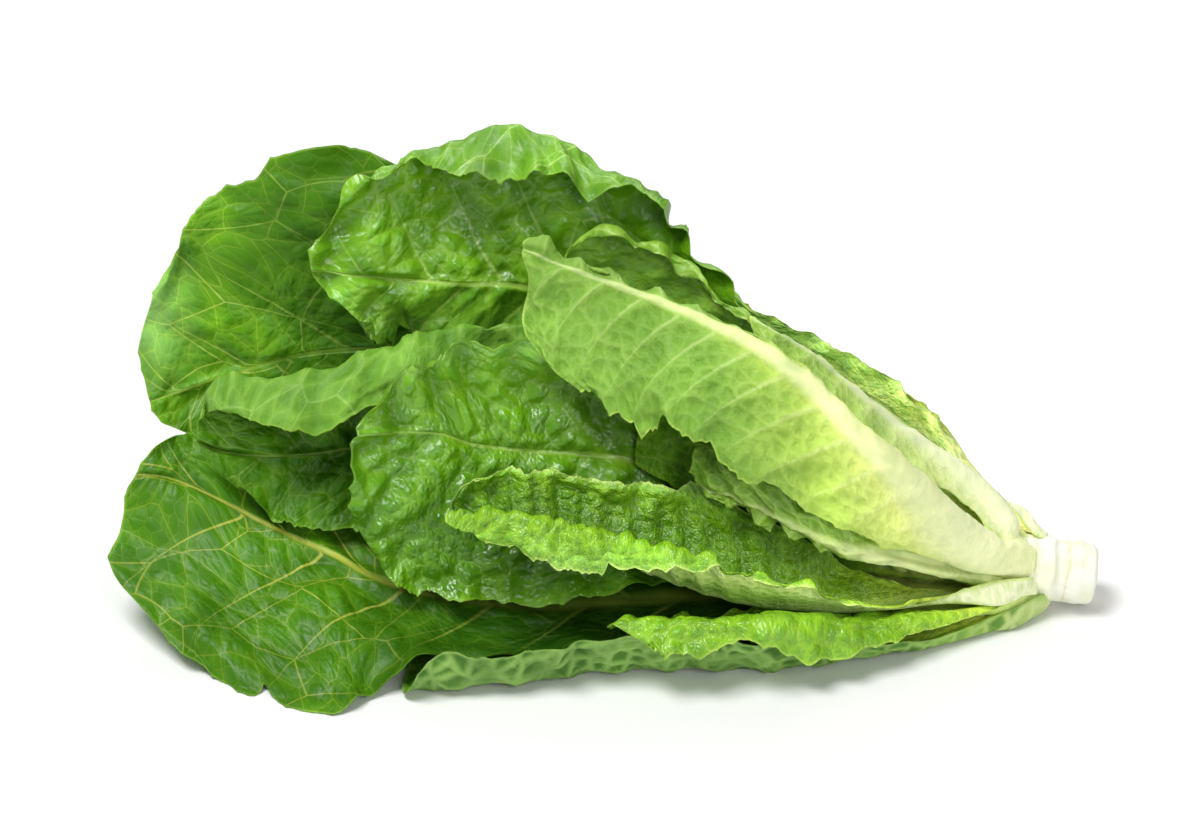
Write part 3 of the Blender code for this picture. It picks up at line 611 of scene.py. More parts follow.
# Painted light and shade on an inner face, where it changes across the leaf: (share across,
# lightness); above 1 is painted light, below 1 painted shade.
PAINTED_LIGHT_AND_SHADE = {
    "boat_leaf": (
        (0.0, 1.3), (0.10, 1.15), (0.24, 0.75), (0.60, 0.48), (0.70, 0.75), (0.76, 1.0), (1.0, 1.25)),
    "rear_ragged_leaf": ((0.0, 1.6), (1.0, 1.6)),
    "tall_rear_leaf": ((0.0, 1.3), (0.3, 1.15), (0.6, 1.0), (1.0, 0.95)),
    "upper_leaf": ((0.0, 1.35), (0.10, 1.0), (0.35, 0.85), (0.6, 0.95), (0.8, 1.08), (1.0, 1.15)),
    "middle_leaf": (
        (0.0, 1.3), (0.12, 1.1), (0.3, 0.98), (0.5, 0.78), (0.8, 0.62), (0.93, 0.9), (1.0, 1.35)),
    "upper_inner_leaf": ((0.0, 1.2), (0.2, 1.12), (0.7, 1.12), (0.85, 1.15), (1.0, 1.5)),
    "folded_leaf": ((0.0, 0.95), (0.45, 0.75), (0.65, 0.55), (0.9, 0.65), (1.0, 0.95)),
}
NO_PAINTED_LIGHT_AND_SHADE = ((0.0, 1.0), (1.0, 1.0))
# Painted shade on inner faces that lie deep in the head, darker in their lower part: (lightness
# there, share of the leaf's length where they begin to lighten, share where they are fully light).
PAINTED_DEEP_SHADE = {
    "low_left_leaf": (0.35, 0.50, 0.80),
    "middle_leaf": (0.5, 0.45, 0.6),
    "tall_rear_leaf": (0.45, 0.74, 0.97),
}
NO_PAINTED_DEEP_SHADE = (1.0, 0.0, 1.0)
# How much of a blade's green its outer face shows.
OUTER_GREEN = {"boat_leaf": 0.5}
# Leaves with large round bubbles beside the margin: (share across where they begin, height).
BUBBLES = {"boat_leaf": (0.66, 3.2)}
NO_BUBBLES = (2.0, 0.0)
# How far a leaf's belly swells outward: (share across, half width of the swelling, height).
BELLIES = {"boat_leaf": (0.66, 0.16, 4.0)}
NO_BELLY = (0.5, 1.0, 0.0)
# How much of a leaf's width is cut away near its base, on the side where the share across is 1,
# so that its back shows.
TRIMMED = {"boat_leaf": 0.09}
# Tears in a leaf's margin: (1 or 0, the share across at that margin; share along, depth, reach).
TEARS = {
    "low_left_leaf": ((1, 0.85, 13.0, 6.0), (1, 0.55, 5.0, 5.0), (0, 0.90, 5.0, 3.0)),
    "flopped_leaf": ((0, 0.70, 8.0, 2.0), (0, 0.78, 6.0, 2.5), (0, 0.60, 4.0, 3.0)),
    "upper_leaf": ((1, 0.86, 6.0, 4.0), (1, 0.68, 5.0, 4.0), (0, 0.62, 7.0, 3.0)),
    "tall_rear_leaf": ((0, 0.82, 4.0, 4.0),),
    "boat_leaf": ((1, 0.72, 4.0, 2.0), (1, 0.52, 4.0, 3.0)),
}

COARSE = (61, 41)  # points at which a leaf's slow fields are worked out
FAR = 24.0  # beyond this a neighbour doesn't limit how far a leaf bulges
ROOM_FOR_SKIN = 0.45  # what a leaf's own skin takes of its half of the room to a neighbour
LEAST_ROOM = 0.08  # what a leaf may always bulge
ROOT_DEPTH = (5.0, 1.0)  # how far inside the stem a leaf's base begins: along it and inward
FLOOR_GAP = 0.25  # between the lowest leaves and the floor
CELL_RANDOMNESS = 0.85
SECOND_CELLS = 2.7  # how many cells of the second net lie side by side in one of the first
THIRD_CELLS = 7.5  # the same for the third net
SIDE_VEIN_WIDTH = 2.2  # half width of a side vein's colour beside the rib
VEIN_STRENGTHS = (0.52, 0.30, 0.14)  # of the three nets, beside the side veins
TOOTH_SHARPNESS = 0.7  # the lower, the more pointed the teeth
GREATEST_PULL = 0.6  # the greatest share of the half width that teeth and tears take
CORNER_ROUNDING = 0.07  # how much of a leaf's length its corners lose
BUBBLE_SIZE = (8.5, 9.0)  # along and across
THIN_SKIN = 0.16  # how far each face stands off the leaf's middle at its margin
THICK_SKIN = 0.24  # what that grows by away from the margin
BASE_SWELL = 3.4  # how much thicker each side of a leaf's base is
BASE_SWELL_SHARE = 0.18  # the share of the leaf's length over which that fades
SIDE_RIDGE = 0.45  # height of the side veins on the outer face
NET_RIDGE = 0.15  # height of the net of veins between them


# ---- noise, steps and points of a leaf's smooth surface ----

def lattice_noise(x, y, seed):
    """Smooth noise between -1 and 1, one unit from bump to bump."""
    table = np.random.RandomState(seed).uniform(-1, 1, (64, 64))
    i = np.floor(x).astype(int)
    j = np.floor(y).astype(int)
    fx = x - i
    fy = y - j
    fx = fx * fx * (3 - 2 * fx)
    fy = fy * fy * (3 - 2 * fy)
    low = table[i & 63, j & 63] * (1 - fx) + table[(i + 1) & 63, j & 63] * fx
    high = table[i & 63, (j + 1) & 63] * (1 - fx) + table[(i + 1) & 63, (j + 1) & 63] * fx
    return low * (1 - fy) + high * fy


def line_noise(x, y, seed):
    """The same noise along one line of it, which lies at y."""
    return lattice_noise(x, y + 0.0 * x, seed)


def rise(x, low, high):
    """0 below low, 1 above high and a smooth step between."""
    t = np.clip((x - low) / (high - low), 0, 1)
    return t * t * (3 - 2 * t)


def between(x, start, full, fades, end):
    """0 outside start and end, 1 from full to fades, with smooth steps."""
    return rise(x, start, full) * (1 - rise(x, fades, end))


def bell(distance, width):
    """1 at distance 0, fading out smoothly over the width."""
    return np.exp(-(distance / width) ** 2)


def within(room, height):
    """The height, squeezed so that it stays inside the room."""
    return room * np.tanh(height / room)


def cubic_weights(t):
    """The Catmull-Rom weights of the four points around a place."""
    return (
        0.5 * (-t + 2 * t ** 2 - t ** 3),
        0.5 * (2 - 5 * t ** 2 + 3 * t ** 3),
        0.5 * (t + 4 * t ** 2 - 3 * t ** 3),
        0.5 * (-t ** 2 + t ** 3),
    )


def cell_at(share, count):
    """The cell of a row of points that a share of its length falls in, and the place in it."""
    x = np.clip(share, 0, 1) * (count - 1)
    first = np.minimum(x.astype(int), count - 2)
    return first, x - first


def one_more_each_way(points):
    """The rows with one more at each end, straight on."""
    return np.concatenate((2 * points[:1] - points[1:2], points, 2 * points[-1:] - points[-2:-1]))


def surface_points(control, u, v):
    """Points of the smooth surface through the control grid, at shares u along and v across."""
    padded = one_more_each_way(control)
    padded = one_more_each_way(padded.transpose(1, 0, 2)).transpose(1, 0, 2)
    i, in_row = cell_at(u, control.shape[0])
    j, in_column = cell_at(v, control.shape[1])
    across = cubic_weights(in_column)
    points = 0
    for a, weight_a in enumerate(cubic_weights(in_row)):
        for b, weight_b in enumerate(across):
            points = points + (weight_a * weight_b)[..., None] * padded[i + a, j + b]
    return points


def sample(field, u, v):
    """A coarse field's value at shares u along and v across, read linearly."""
    i, fx = cell_at(u, field.shape[0])
    j, fy = cell_at(v, field.shape[1])
    if field.ndim == 3:
        fx = fx[..., None]
        fy = fy[..., None]
    low = field[i, j] * (1 - fx) + field[i + 1, j] * fx
    high = field[i, j + 1] * (1 - fx) + field[i + 1, j + 1] * fx
    return low * (1 - fy) + high * fy


def unit(vectors):
    """The vectors at length 1."""
    return vectors / np.maximum(np.linalg.norm(vectors, axis=-1, keepdims=True), 1e-9)


def side_lengths(points, axis):
    """Lengths along the rows (axis 1) or the columns (axis 0), from the first point."""
    steps = np.linalg.norm(np.diff(points, axis=axis), axis=-1)
    zero = np.zeros_like(np.take(steps, [0], axis=axis))
    return np.concatenate((zero, np.cumsum(steps, axis=axis)), axis=axis)


def add_object(name, data):
    """A new object in the scene."""
    made = bpy.data.objects.new(name, data)
    bpy.context.scene.collection.objects.link(made)
    return made


def new_mesh(name, corners, faces):
    """A smooth mesh of the head, from corners in millimetres."""
    mesh = bpy.data.meshes.new(name)
    mesh.from_pydata(((corners + HEAD_SHIFT) * MM).tolist(), [], faces)
    mesh.shade_smooth()
    return mesh


# ---- the leaves ----

def root_row(description):
    """A row of points inside the stem, from which the leaf's base comes out."""
    x = description["grows_at"] + ROOT_DEPTH[0]
    return np.array(stem_arc(description, x, stem_radius(x) - ROOT_DEPTH[1], COLUMNS))


def free_room(points, normals, neighbours):
    """How far a leaf may bulge before it meets a neighbour that bulges as well: first on the
    inner side, then on the outer one."""
    room = np.full((2, *COARSE), FAR)
    for side, way in enumerate((1, -1)):
        for i in range(COARSE[0]):
            for j in range(COARSE[1]):
                hit = neighbours.ray_cast(Vector(points[i, j]), Vector(way * normals[i, j]), FAR)
                if hit[3] is not None:
                    room[side, i, j] = hit[3]
        for _ in range(2):
            padded = np.pad(room[side], 1, mode="edge")
            shifts = [padded[a:a + COARSE[0], b:b + COARSE[1]] for a in range(3) for b in range(3)]
            room[side] = np.min(shifts, axis=0)
        for _ in range(3):
            room[side] = smoothed(room[side])
    return np.maximum(room / 2 - ROOM_FOR_SKIN, LEAST_ROOM)


def coarse_fields(name, control, neighbours):
    """The leaf's slow fields: normals, lengths along and across, half widths and free room."""
    u, v = np.meshgrid(np.linspace(0, 1, COARSE[0]), np.linspace(0, 1, COARSE[1]), indexing="ij")
    points = surface_points(control, u, v)
    normals = unit(np.cross(np.gradient(points, axis=0), np.gradient(points, axis=1)))
    rib_at_base, rib_at_tip = LOOKS[name]["rib"]
    rib = rib_at_base + (rib_at_tip - rib_at_base) * u[:, 0]
    across = side_lengths(points, 1)
    at_rib = np.array([np.interp(rib[i], v[i], across[i]) for i in range(COARSE[0])])
    across = across - at_rib[:, None]
    rib_points = surface_points(control, u[:, 0], rib)
    along = np.repeat(side_lengths(rib_points[:, None], 0), COARSE[1], axis=1)
    half = np.where(across < 0, -across[:, :1], across[:, -1:])
    room_in, room_out = free_room(points, normals, neighbours)
    return {"normals": normals, "across": across, "along": along, "half": half,
            "room_in": room_in, "room_out": room_out}


def voronoi_edges(places, scale):
    """Distance to the nearest cell edge of Blender's 2D Voronoi texture at the given places."""
    mesh = bpy.data.meshes.new("probe")
    mesh.from_pydata(places.reshape(-1, 3).tolist(), [], [])
    probe = add_object("probe", mesh)
    group = bpy.data.node_groups.new("probe", "GeometryNodeTree")
    for way in ("INPUT", "OUTPUT"):
        group.interface.new_socket("Geometry", in_out=way, socket_type="NodeSocketGeometry")
    start = new_node(group, "NodeGroupInput")
    place = new_node(group, "GeometryNodeInputPosition")
    edges = new_node(group, "ShaderNodeTexVoronoi", CELLS, Vector=place.outputs[0],
                     Scale=scale, Randomness=CELL_RANDOMNESS)
    store = new_node(group, "GeometryNodeStoreNamedAttribute", {"data_type": "FLOAT", "domain": "POINT"},
                     Geometry=start.outputs[0], Name="cell_edge", Value=edges.outputs["Distance"])
    end = new_node(group, "NodeGroupOutput")
    put(end.inputs[0], store.outputs[0])
    probe.modifiers.new("probe", "NODES").node_group = group
    evaluated = probe.evaluated_get(bpy.context.evaluated_depsgraph_get())
    distances = np.zeros(len(mesh.vertices), np.float32)
    evaluated.data.attributes["cell_edge"].data.foreach_get("value", distances)
    bpy.data.objects.remove(probe)
    bpy.data.node_groups.remove(group)
    bpy.data.meshes.remove(mesh)
    return distances.reshape(places.shape[:-1]).astype(float)


def outline(name, fields, u, v):
    """Moves the shares u and v in from the margin where it is rounded or toothed."""
    depth, length = LOOKS[name]["teeth"]
    lobe_depth, lobe_length = LOOKS[name]["lobes"]
    seed = sum(map(ord, name))
    off = np.abs(2 * v - 1)
    along = sample(fields["along"], u, v)
    across = sample(fields["across"], u, v)
    half = np.maximum(sample(fields["half"], u, v), 4.0)
    total = fields["along"][-1, 0]
    side = np.where(v < 0.5, 0, 500)  # so that the two margins differ
    # Large teeth, small ones between them, and slower lobes.
    tooth = np.abs(line_noise(along / length + side, side, seed)) ** TOOTH_SHARPNESS
    tooth = tooth + 0.35 * np.abs(line_noise(along / length * 2.7 + side, side + 3.0, seed))
    lobe = 0.5 + 0.5 * line_noise(along / (0.6 * lobe_length) + side, side + 9.0, seed + 1)
    pull = rise(u, 0.10, 0.3) * (1.3 * depth * tooth + lobe_depth * lobe) / half * off ** 5
    for margin, place, tear_depth, reach in TEARS.get(name, ()):
        here = np.exp(-np.abs(along - place * total) / reach) * ((v > 0.5) == bool(margin))
        pull = pull + tear_depth * here / half * off ** 4
    trimmed = 2 * TRIMMED.get(name, 0.0) * (v > 0.5) * between(u, 0.1, 0.25, 0.45, 0.7)
    moved_v = 0.5 + (v - 0.5) * (1 - np.minimum(pull, GREATEST_PULL) - trimmed - 0.05 * u ** 8)
    # The same at the tip, where the points move back along the leaf.
    tooth = np.abs(line_noise(across / length + 77, 0.0, seed + 2)) ** TOOTH_SHARPNESS
    lobe = 0.5 + 0.5 * line_noise(across / (0.6 * lobe_length) + 33, 0.0, seed + 3)
    pull = (depth * tooth + lobe_depth * lobe) / total * rise(u, 0.8, 1.0)
    corner = CORNER_ROUNDING * rise(off, 0.45, 1.0) ** 2 * rise(u, 0.7, 1.0)
    return u * (1 - pull - corner), moved_v


def own_places(name, control, neighbours):
    """Where the points of a leaf's fine surface are, and where each one lies on the leaf: shares
    along and across, and lengths in millimetres along the leaf, off its rib and from its margin."""
    rows, columns = LOOKS[name]["size"]
    fields = coarse_fields(name, control, neighbours)
    t, w = np.meshgrid(np.linspace(0, 1, rows), np.linspace(0, 1, columns), indexing="ij")
    w = w - 0.03 * np.sin(2 * math.pi * w)  # closer together at both margins
    u, v = outline(name, fields, t, w)
    points = surface_points(control, u, v)
    along = sample(fields["along"], u, v)
    across = sample(fields["across"], u, v)
    from_side = side_lengths(points, 1)
    from_base = side_lengths(points, 0)
    edge = np.minimum(from_side, from_side[:, -1:] - from_side)
    share = along / along.max()
    return SimpleNamespace(
        seed=sum(map(ord, name)), v=v, points=points, normals=unit(sample(fields["normals"], u, v)),
        along=along, across=across, from_side=from_side, share=share, off=np.abs(across),
        edge=np.minimum(edge, from_base[-1:] - from_base),
        half=np.maximum(sample(fields["half"], u, v), 3.0),
        room_in=sample(fields["room_in"], u, v), room_out=sample(fields["room_out"], u, v),
        grown=rise(share, 0.12, 0.45),
    )


def bumps(at, length, width, number):
    """Noise over a leaf, with bumps of the given length along it and width across it."""
    return lattice_noise(at.along / length, at.across / width, at.seed + number)


def flat_net(x, y):
    """Places in a flat texture."""
    return np.stack((x, y, np.zeros_like(x)), axis=-1)


def add_veins(here, at):
    """Adds how far each point is from the side veins and from the first and second net of veins."""
    spacing, lean = here["veins"]
    leaning = lean * at.off * (1 - 0.3 * at.off / at.half.max())
    at.phase = (at.along - leaning) / spacing + 0.25 * np.tanh(at.across / 0.7)
    at.phase = at.phase + 4.0 / spacing * bumps(at, 40, 50, 5)
    at.fine_net = flat_net(at.along / spacing + 0.25 * bumps(at, 25, 25, 14),
                           at.across / spacing + 0.25 * bumps(at, 25, 25, 15))
    at.net = flat_net(at.phase, at.across / spacing * 1.1 + 0.2 * bumps(at, 30, 30, 6))
    at.first = voronoi_edges(at.net, 1.0) * spacing
    at.second = voronoi_edges(at.fine_net, SECOND_CELLS) * spacing / SECOND_CELLS
    at.side_vein = np.abs(at.phase - np.round(at.phase)) * spacing * 0.8
    at.taper = np.clip(1 - at.off / at.half, 0, 1)


def blistered(name, here, at):
    """How far the blade bulges to its inner side between its veins, and in bubbles on its lip."""
    spacing = here["veins"][0]
    blister = here["blister"]
    # Folds between the side veins, cushions in the first net and small ones in the second.
    cushion = 1 - bell(np.minimum(at.side_vein, at.first), 0.16 * spacing)
    fold = 1 - bell(at.side_vein, 0.22 * spacing)
    fine = 1 - bell(at.second, 0.10 * spacing)
    patchy = 0.75 + 0.45 * bumps(at, 25, 25, 7)
    patchy_fine = 0.65 * min(spacing / 16, 1.0) * (0.6 + 0.6 * bumps(at, 16, 16, 12))
    coarse = patchy * (0.8 * (fold - 0.5) * np.sqrt(at.taper) + 0.6 * (cushion - 0.5))
    shift = blister * at.grown * (coarse + patchy_fine * (fine - 0.5))
    begins, bubble_height = BUBBLES.get(name, NO_BUBBLES)
    if bubble_height:
        on_lip = rise(np.maximum(at.v, 0.85 - at.v), begins, begins + 0.1)
        bubble_net = flat_net(at.along / BUBBLE_SIZE[0], at.from_side / BUBBLE_SIZE[1])
        bubble = np.sqrt(np.clip(voronoi_edges(bubble_net, 1.0) * 2.2, 0, 1))
        shift = shift * (1 - 0.8 * on_lip) + bubble_height * rise(at.share, 0.06, 0.2) * on_lip * bubble
    wrinkle = lattice_noise(at.along / 9 + 0.5 * at.phase, at.across / 13, at.seed + 13)
    return shift + 0.12 * blister * at.grown * (1 - 2 * np.abs(wrinkle) ** 0.7)


def ruffled(here, at):
    """The ruffles along the margin and the slow waves of the whole blade."""
    height, length = here["ruffle"]
    wave = 2 * math.pi * (at.along + 0.5 * at.off) / length
    wave = 0.5 * np.sin(wave + 2.5 * bumps(at, 22, 22, 8))
    wave = wave + 0.9 * lattice_noise(at.along / length * 1.7, at.across / length * 1.7, at.seed + 9)
    ruffles = height * at.grown * (1 - rise(at.edge, 0.0, 18.0)) * wave
    return ruffles + here["waves"] * at.grown * bumps(at, 30, 26, 10)


def add_shape(name, here, at):
    """Adds the rib's width and how far the blade's middle moves to its inner side."""
    rib_width, rib_height = here["rib_size"]
    rib_half = rib_width * np.clip(1 - at.share, 0, 1) ** 1.3 + 0.35
    at.rib_half = np.minimum(rib_half + 10 * np.exp(-at.share / 0.09), np.maximum(0.75 * at.half, 0.35))
    shift = blistered(name, here, at)
    # The bulge height; the material also uses it for painted light on bulges and painted shade in hollows.
    at.heave = np.tanh(1.2 * shift / here["blister"])
    shift = shift * rise(at.edge, 0.0, 4.0) + ruffled(here, at)
    middle, reach, swelling = BELLIES.get(name, NO_BELLY)
    shift = shift - swelling * bell(at.v - middle, reach) * between(at.share, 0.15, 0.3, 0.5, 0.7)
    shift = shift * (0.3 + 0.7 * rise(at.off / at.rib_half, 0.8, 4.0))
    shift = shift - 0.35 * rib_height * bell(at.off, 1.3 * at.rib_half) * (1 - at.share)
    at.shift = np.where(shift > 0, within(at.room_in, shift), within(at.room_out, shift))


def both_faces(here, at):
    """The points of the inner face and of the outer one, which carries the rib and the veins. The
    base is thick, and near the stem it may grow into its neighbours."""
    skin = THIN_SKIN + THICK_SKIN * rise(at.edge, 0.0, 4.0)
    swell = BASE_SWELL * bell(at.share, BASE_SWELL_SHARE)
    swell = swell * rise(at.share, 0.0, 0.08) * rise(at.edge, 0.0, 5.0)
    ridge = here["rib_size"][1] * np.clip(1 - at.share, 0, 1) ** 0.9
    ridge = ridge * np.clip(1 - (at.off / (1.3 * at.rib_half)) ** 2, 0, 1)
    ridge = ridge * (0.3 + 0.7 * rise(at.share, 0.0, 0.10))
    ridge = ridge + SIDE_RIDGE * at.grown * bell(at.side_vein, 0.9) * at.taper
    ridge = ridge + NET_RIDGE * at.grown * bell(at.first, 0.8)
    left_in = np.maximum(at.room_in - at.shift, 0.1)
    left_out = np.maximum(at.room_out + at.shift, 0.1)
    ridge = within(left_out, ridge)
    faces = []
    # Beyond the base the thickness keeps to the free room.
    for way, left, thick in ((1, left_in, swell), (-1, left_out, swell + ridge)):
        thick = thick + rise(at.share, 0.06, 0.16) * (within(left, thick) - thick)
        faces.append(at.points + at.normals * (at.shift + way * (skin + thick))[..., None])
    return faces


def colour_values(name, here, at):
    """The values that the leaf's material reads."""
    start, full, sooner = here["green"]
    green = (at.share - start) / (full - start) + sooner * (at.off / at.half - 0.35)
    green = np.clip(green, 0, 1) * (1 - 0.75 * bell(at.off, 1.6 * at.rib_half) * (1 - at.share))
    # Painted light and shade across the inner face: above 1 is painted light, below 1 painted shade.
    light_shade_stops = np.array(PAINTED_LIGHT_AND_SHADE.get(name, NO_PAINTED_LIGHT_AND_SHADE))
    painted_light_shade = 1 + (np.interp(at.v, light_shade_stops[:, 0], light_shade_stops[:, 1]) - 1) * rise(at.share, 0.05, 0.3)
    # Painted shade where the inner face lies deep in the head, toward its base.
    least, dark_to, full_from = PAINTED_DEEP_SHADE.get(name, NO_PAINTED_DEEP_SHADE)
    painted_light_shade = painted_light_shade * (1 - (1 - least) * between(at.share, 0.12, 0.25, dark_to, full_from))
    return {
        "green": green, "rib": at.off / at.rib_half, "phase": at.phase, "edge": at.edge,
        "taper": at.taper * np.clip(1.3 - at.share, 0, 1), "heave": at.heave, "painted_light_shade": painted_light_shade,
    }


def make_leaf(name, grid, neighbours):
    """The leaf as a fine closed mesh with its own coordinates as attributes."""
    here = LOOKS[name]
    at = own_places(name, np.concatenate((root_row(LEAVES[name])[None], grid)), neighbours)
    add_veins(here, at)
    add_shape(name, here, at)
    inner, outer = both_faces(here, at)
    made = leaf_mesh(name, inner, outer)
    for key, value in colour_values(name, here, at).items():
        store(made.data, key, np.tile(value.ravel(), 2))
    store(made.data, "inner", np.repeat((1.0, 0.0), at.share.size))
    for key, net in (("net", at.net), ("fine_net", at.fine_net)):
        store(made.data, key, np.tile(net.reshape(-1, 3), (2, 1)))
    made.data.materials.append(leaf_material(name))
    return made


def store(mesh, key, values):
    """Keeps one value, or one place, for each of the mesh's points."""
    kind, field = ("FLOAT_VECTOR", "vector") if values.ndim == 2 else ("FLOAT", "value")
    layer = mesh.attributes.new(key, kind, "POINT")
    layer.data.foreach_set(field, values.astype(np.float32).ravel())


def leaf_mesh(name, inner, outer):
    """One closed mesh of the inner and the outer face and the rim between them."""
    rows, columns = inner.shape[:2]
    count = rows * columns
    lift = np.maximum(FLOOR_GAP - np.minimum(inner[..., 2], outer[..., 2]), 0)
    inner[..., 2] += lift
    outer[..., 2] += lift
    corners = np.concatenate((inner.reshape(-1, 3), outer.reshape(-1, 3)))
    index = np.arange(count).reshape(rows, columns)
    a, b = index[:-1, :-1].ravel(), index[1:, :-1].ravel()
    c, d = index[1:, 1:].ravel(), index[:-1, 1:].ravel()
    around = np.concatenate((index[:, 0], index[-1, 1:], index[-2::-1, -1], index[0, -2:0:-1]))
    onward = np.roll(around, -1)
    quads = np.concatenate((
        np.stack((a, b, c, d), 1),
        np.stack((d, c, b, a), 1) + count,
        np.stack((around + count, onward + count, onward, around), 1),
    ))
    return add_object("leaf_" + name, new_mesh(name, corners, quads.tolist()))


# ---- nodes ----

CELLS = {"voronoi_dimensions": "2D", "feature": "DISTANCE_TO_EDGE"}
RAMP_PLACES = (0.0, 0.3, 0.65, 1.0)


def new_node(tree, kind, settings=(), **sockets):
    """A node with the given settings; a socket gets a value or a link."""
    made = tree.nodes.new(kind)
    for key, value in dict(settings).items():
        setattr(made, key, value)
    for key, value in sockets.items():
        put(made.inputs[key.replace("_", " ")], value)
    return made


def put(socket, value):
    """Links a socket to where the value comes from, or sets it to a plain value or colour."""
    if isinstance(value, bpy.types.NodeSocket):
        socket.id_data.links.new(value, socket)
    elif isinstance(value, tuple) and socket.type == "RGBA":
        socket.default_value = (*value, 1.0)
    else:
        socket.default_value = value


def tree_of(*values):
    """The node tree that one of the values comes from."""
    return next(v for v in values if isinstance(v, bpy.types.NodeSocket)).id_data


def calc(operation, a, b=0.0, clamp=False):
    """The result of one sum."""
    made = new_node(tree_of(a, b), "ShaderNodeMath", {"operation": operation, "use_clamp": clamp})
    put(made.inputs[0], a)
    put(made.inputs[1], b)
    return made.outputs[0]


def times(first, *others):
    """The product of all the values."""
    for other in others:
        first = calc("MULTIPLY", first, other)
    return first


def plus(first, *others):
    """The sum of all the values."""
    for other in others:
        first = calc("ADD", first, other)
    return first


def step(value, low, high, start=0.0, end=1.0):
    """A smooth step from start, where value is low, to end, where it is high."""
    made = new_node(tree_of(value), "ShaderNodeMapRange", {"interpolation_type": "SMOOTHSTEP"},
                    Value=value, From_Min=low, From_Max=high, To_Min=start, To_Max=end)
    return made.outputs[0]


def mix(factor, a, b, blend="MIX"):
    """The colour a, changed to b or blended with it as far as the factor says."""
    made = new_node(tree_of(factor, a, b), "ShaderNodeMix", {"data_type": "RGBA", "blend_type": blend})
    put(made.inputs[0], factor)
    put(made.inputs[6], a)
    put(made.inputs[7], b)
    return made.outputs[2]


def ramp(factor, colours):
    """The four colours of a palette, one after the other."""
    made = new_node(tree_of(factor), "ShaderNodeValToRGB", Fac=factor)
    elements = made.color_ramp.elements
    elements[0].position, elements[1].position = RAMP_PLACES[0], RAMP_PLACES[3]
    elements.new(RAMP_PLACES[1])
    elements.new(RAMP_PLACES[2])
    for element, colour in zip(elements, colours[:4]):
        element.color = (*colour, 1.0)
    return made.outputs[0]


def cells(net, scale):
    """The distance to the nearest edge of a net's cells."""
    made = new_node(tree_of(net), "ShaderNodeTexVoronoi", CELLS,
                    Vector=net, Scale=scale, Randomness=CELL_RANDOMNESS)
    return made.outputs["Distance"]


def noise(place, scale, detail, distortion=0.0):
    """Noise with the given number of bumps to the metre."""
    made = new_node(tree_of(place), "ShaderNodeTexNoise", Vector=place, Scale=scale, Detail=detail,
                    Distortion=distortion)
    return made.outputs[0]


def read(tree, name, output="Fac"):
    """A value that is kept on the mesh."""
    return new_node(tree, "ShaderNodeAttribute", {"attribute_name": name}).outputs[output]


def object_place(tree):
    """The place on the object, in metres."""
    return new_node(tree, "ShaderNodeTexCoord").outputs["Object"]


def new_material(name):
    """A material, its node tree and its shader."""
    made = bpy.data.materials.new(name)
    made.use_nodes = True
    return made, made.node_tree, made.node_tree.nodes["Principled BSDF"]


def set_inputs(shader, values):
    """Sets the shader's inputs by name."""
    for key, value in values.items():
        put(shader.inputs[key], value)


def bumped(relief, strength, distance):
    """The normal of a surface with the given relief."""
    return new_node(tree_of(relief), "ShaderNodeBump", Height=relief, Strength=strength,
                    Distance=distance).outputs[0]


# ---- leaf skin ----

def skin_values(tree):
    """What the parts of a leaf's material share: what the mesh keeps, noise and cells."""
    place = object_place(tree)
    cloud = noise(place, 22.0, 2.0)
    fine_net = read(tree, "fine_net", "Vector")
    at = SimpleNamespace(
        place=place, cloud=cloud, mottle=noise(place, 70.0, 4.0),
        inner=read(tree, "inner"), taper=read(tree, "taper"), phase=read(tree, "phase"),
        first=cells(read(tree, "net", "Vector"), 1.0),
        second=cells(fine_net, SECOND_CELLS), third=cells(fine_net, THIRD_CELLS),
    )
    at.green = calc("ADD", read(tree, "green"), times(calc("SUBTRACT", cloud, 0.5), 0.35), clamp=True)
    at.rib = times(step(read(tree, "rib"), 0.35, 1.40, 1.0, 0.0), step(at.green, 0.3, 1.0, 0.95, 0.55))
    at.rib = times(at.rib, step(at.green, 0.0, 0.2, 0.4, 1.0))
    return at


def vein_lines(here, at):
    """The rib, the side veins and three nets of finer and fainter veins."""
    spacing = here["veins"][0]
    show_side, show_fine, soft = here["show"]
    width = plus(times(calc("POWER", at.taper, 1.5), SIDE_VEIN_WIDTH * show_side / spacing), 0.10 / spacing)
    side = step(calc("DIVIDE", calc("PINGPONG", at.phase, 0.5), width), 0.3, 1.3 * soft, 1.0, 0.0)
    veins = times(side, step(at.taper, 0.0, 0.7, 0.25, 1.0), show_side)
    first = step(at.first, 0.04 / spacing, 0.42 * soft / spacing, 1.0, 0.0)
    second = step(at.second, 0.0, 0.26 * soft / spacing * SECOND_CELLS, 1.0, 0.0)
    third = step(at.third, 0.0, 0.20 / spacing * THIRD_CELLS, 1.0, 0.0)
    for net, strength in zip((first, second, third), VEIN_STRENGTHS):
        veins = calc("MAXIMUM", veins, times(net, strength * show_fine))
    return calc("MAXIMUM", at.rib, times(veins, 0.9))


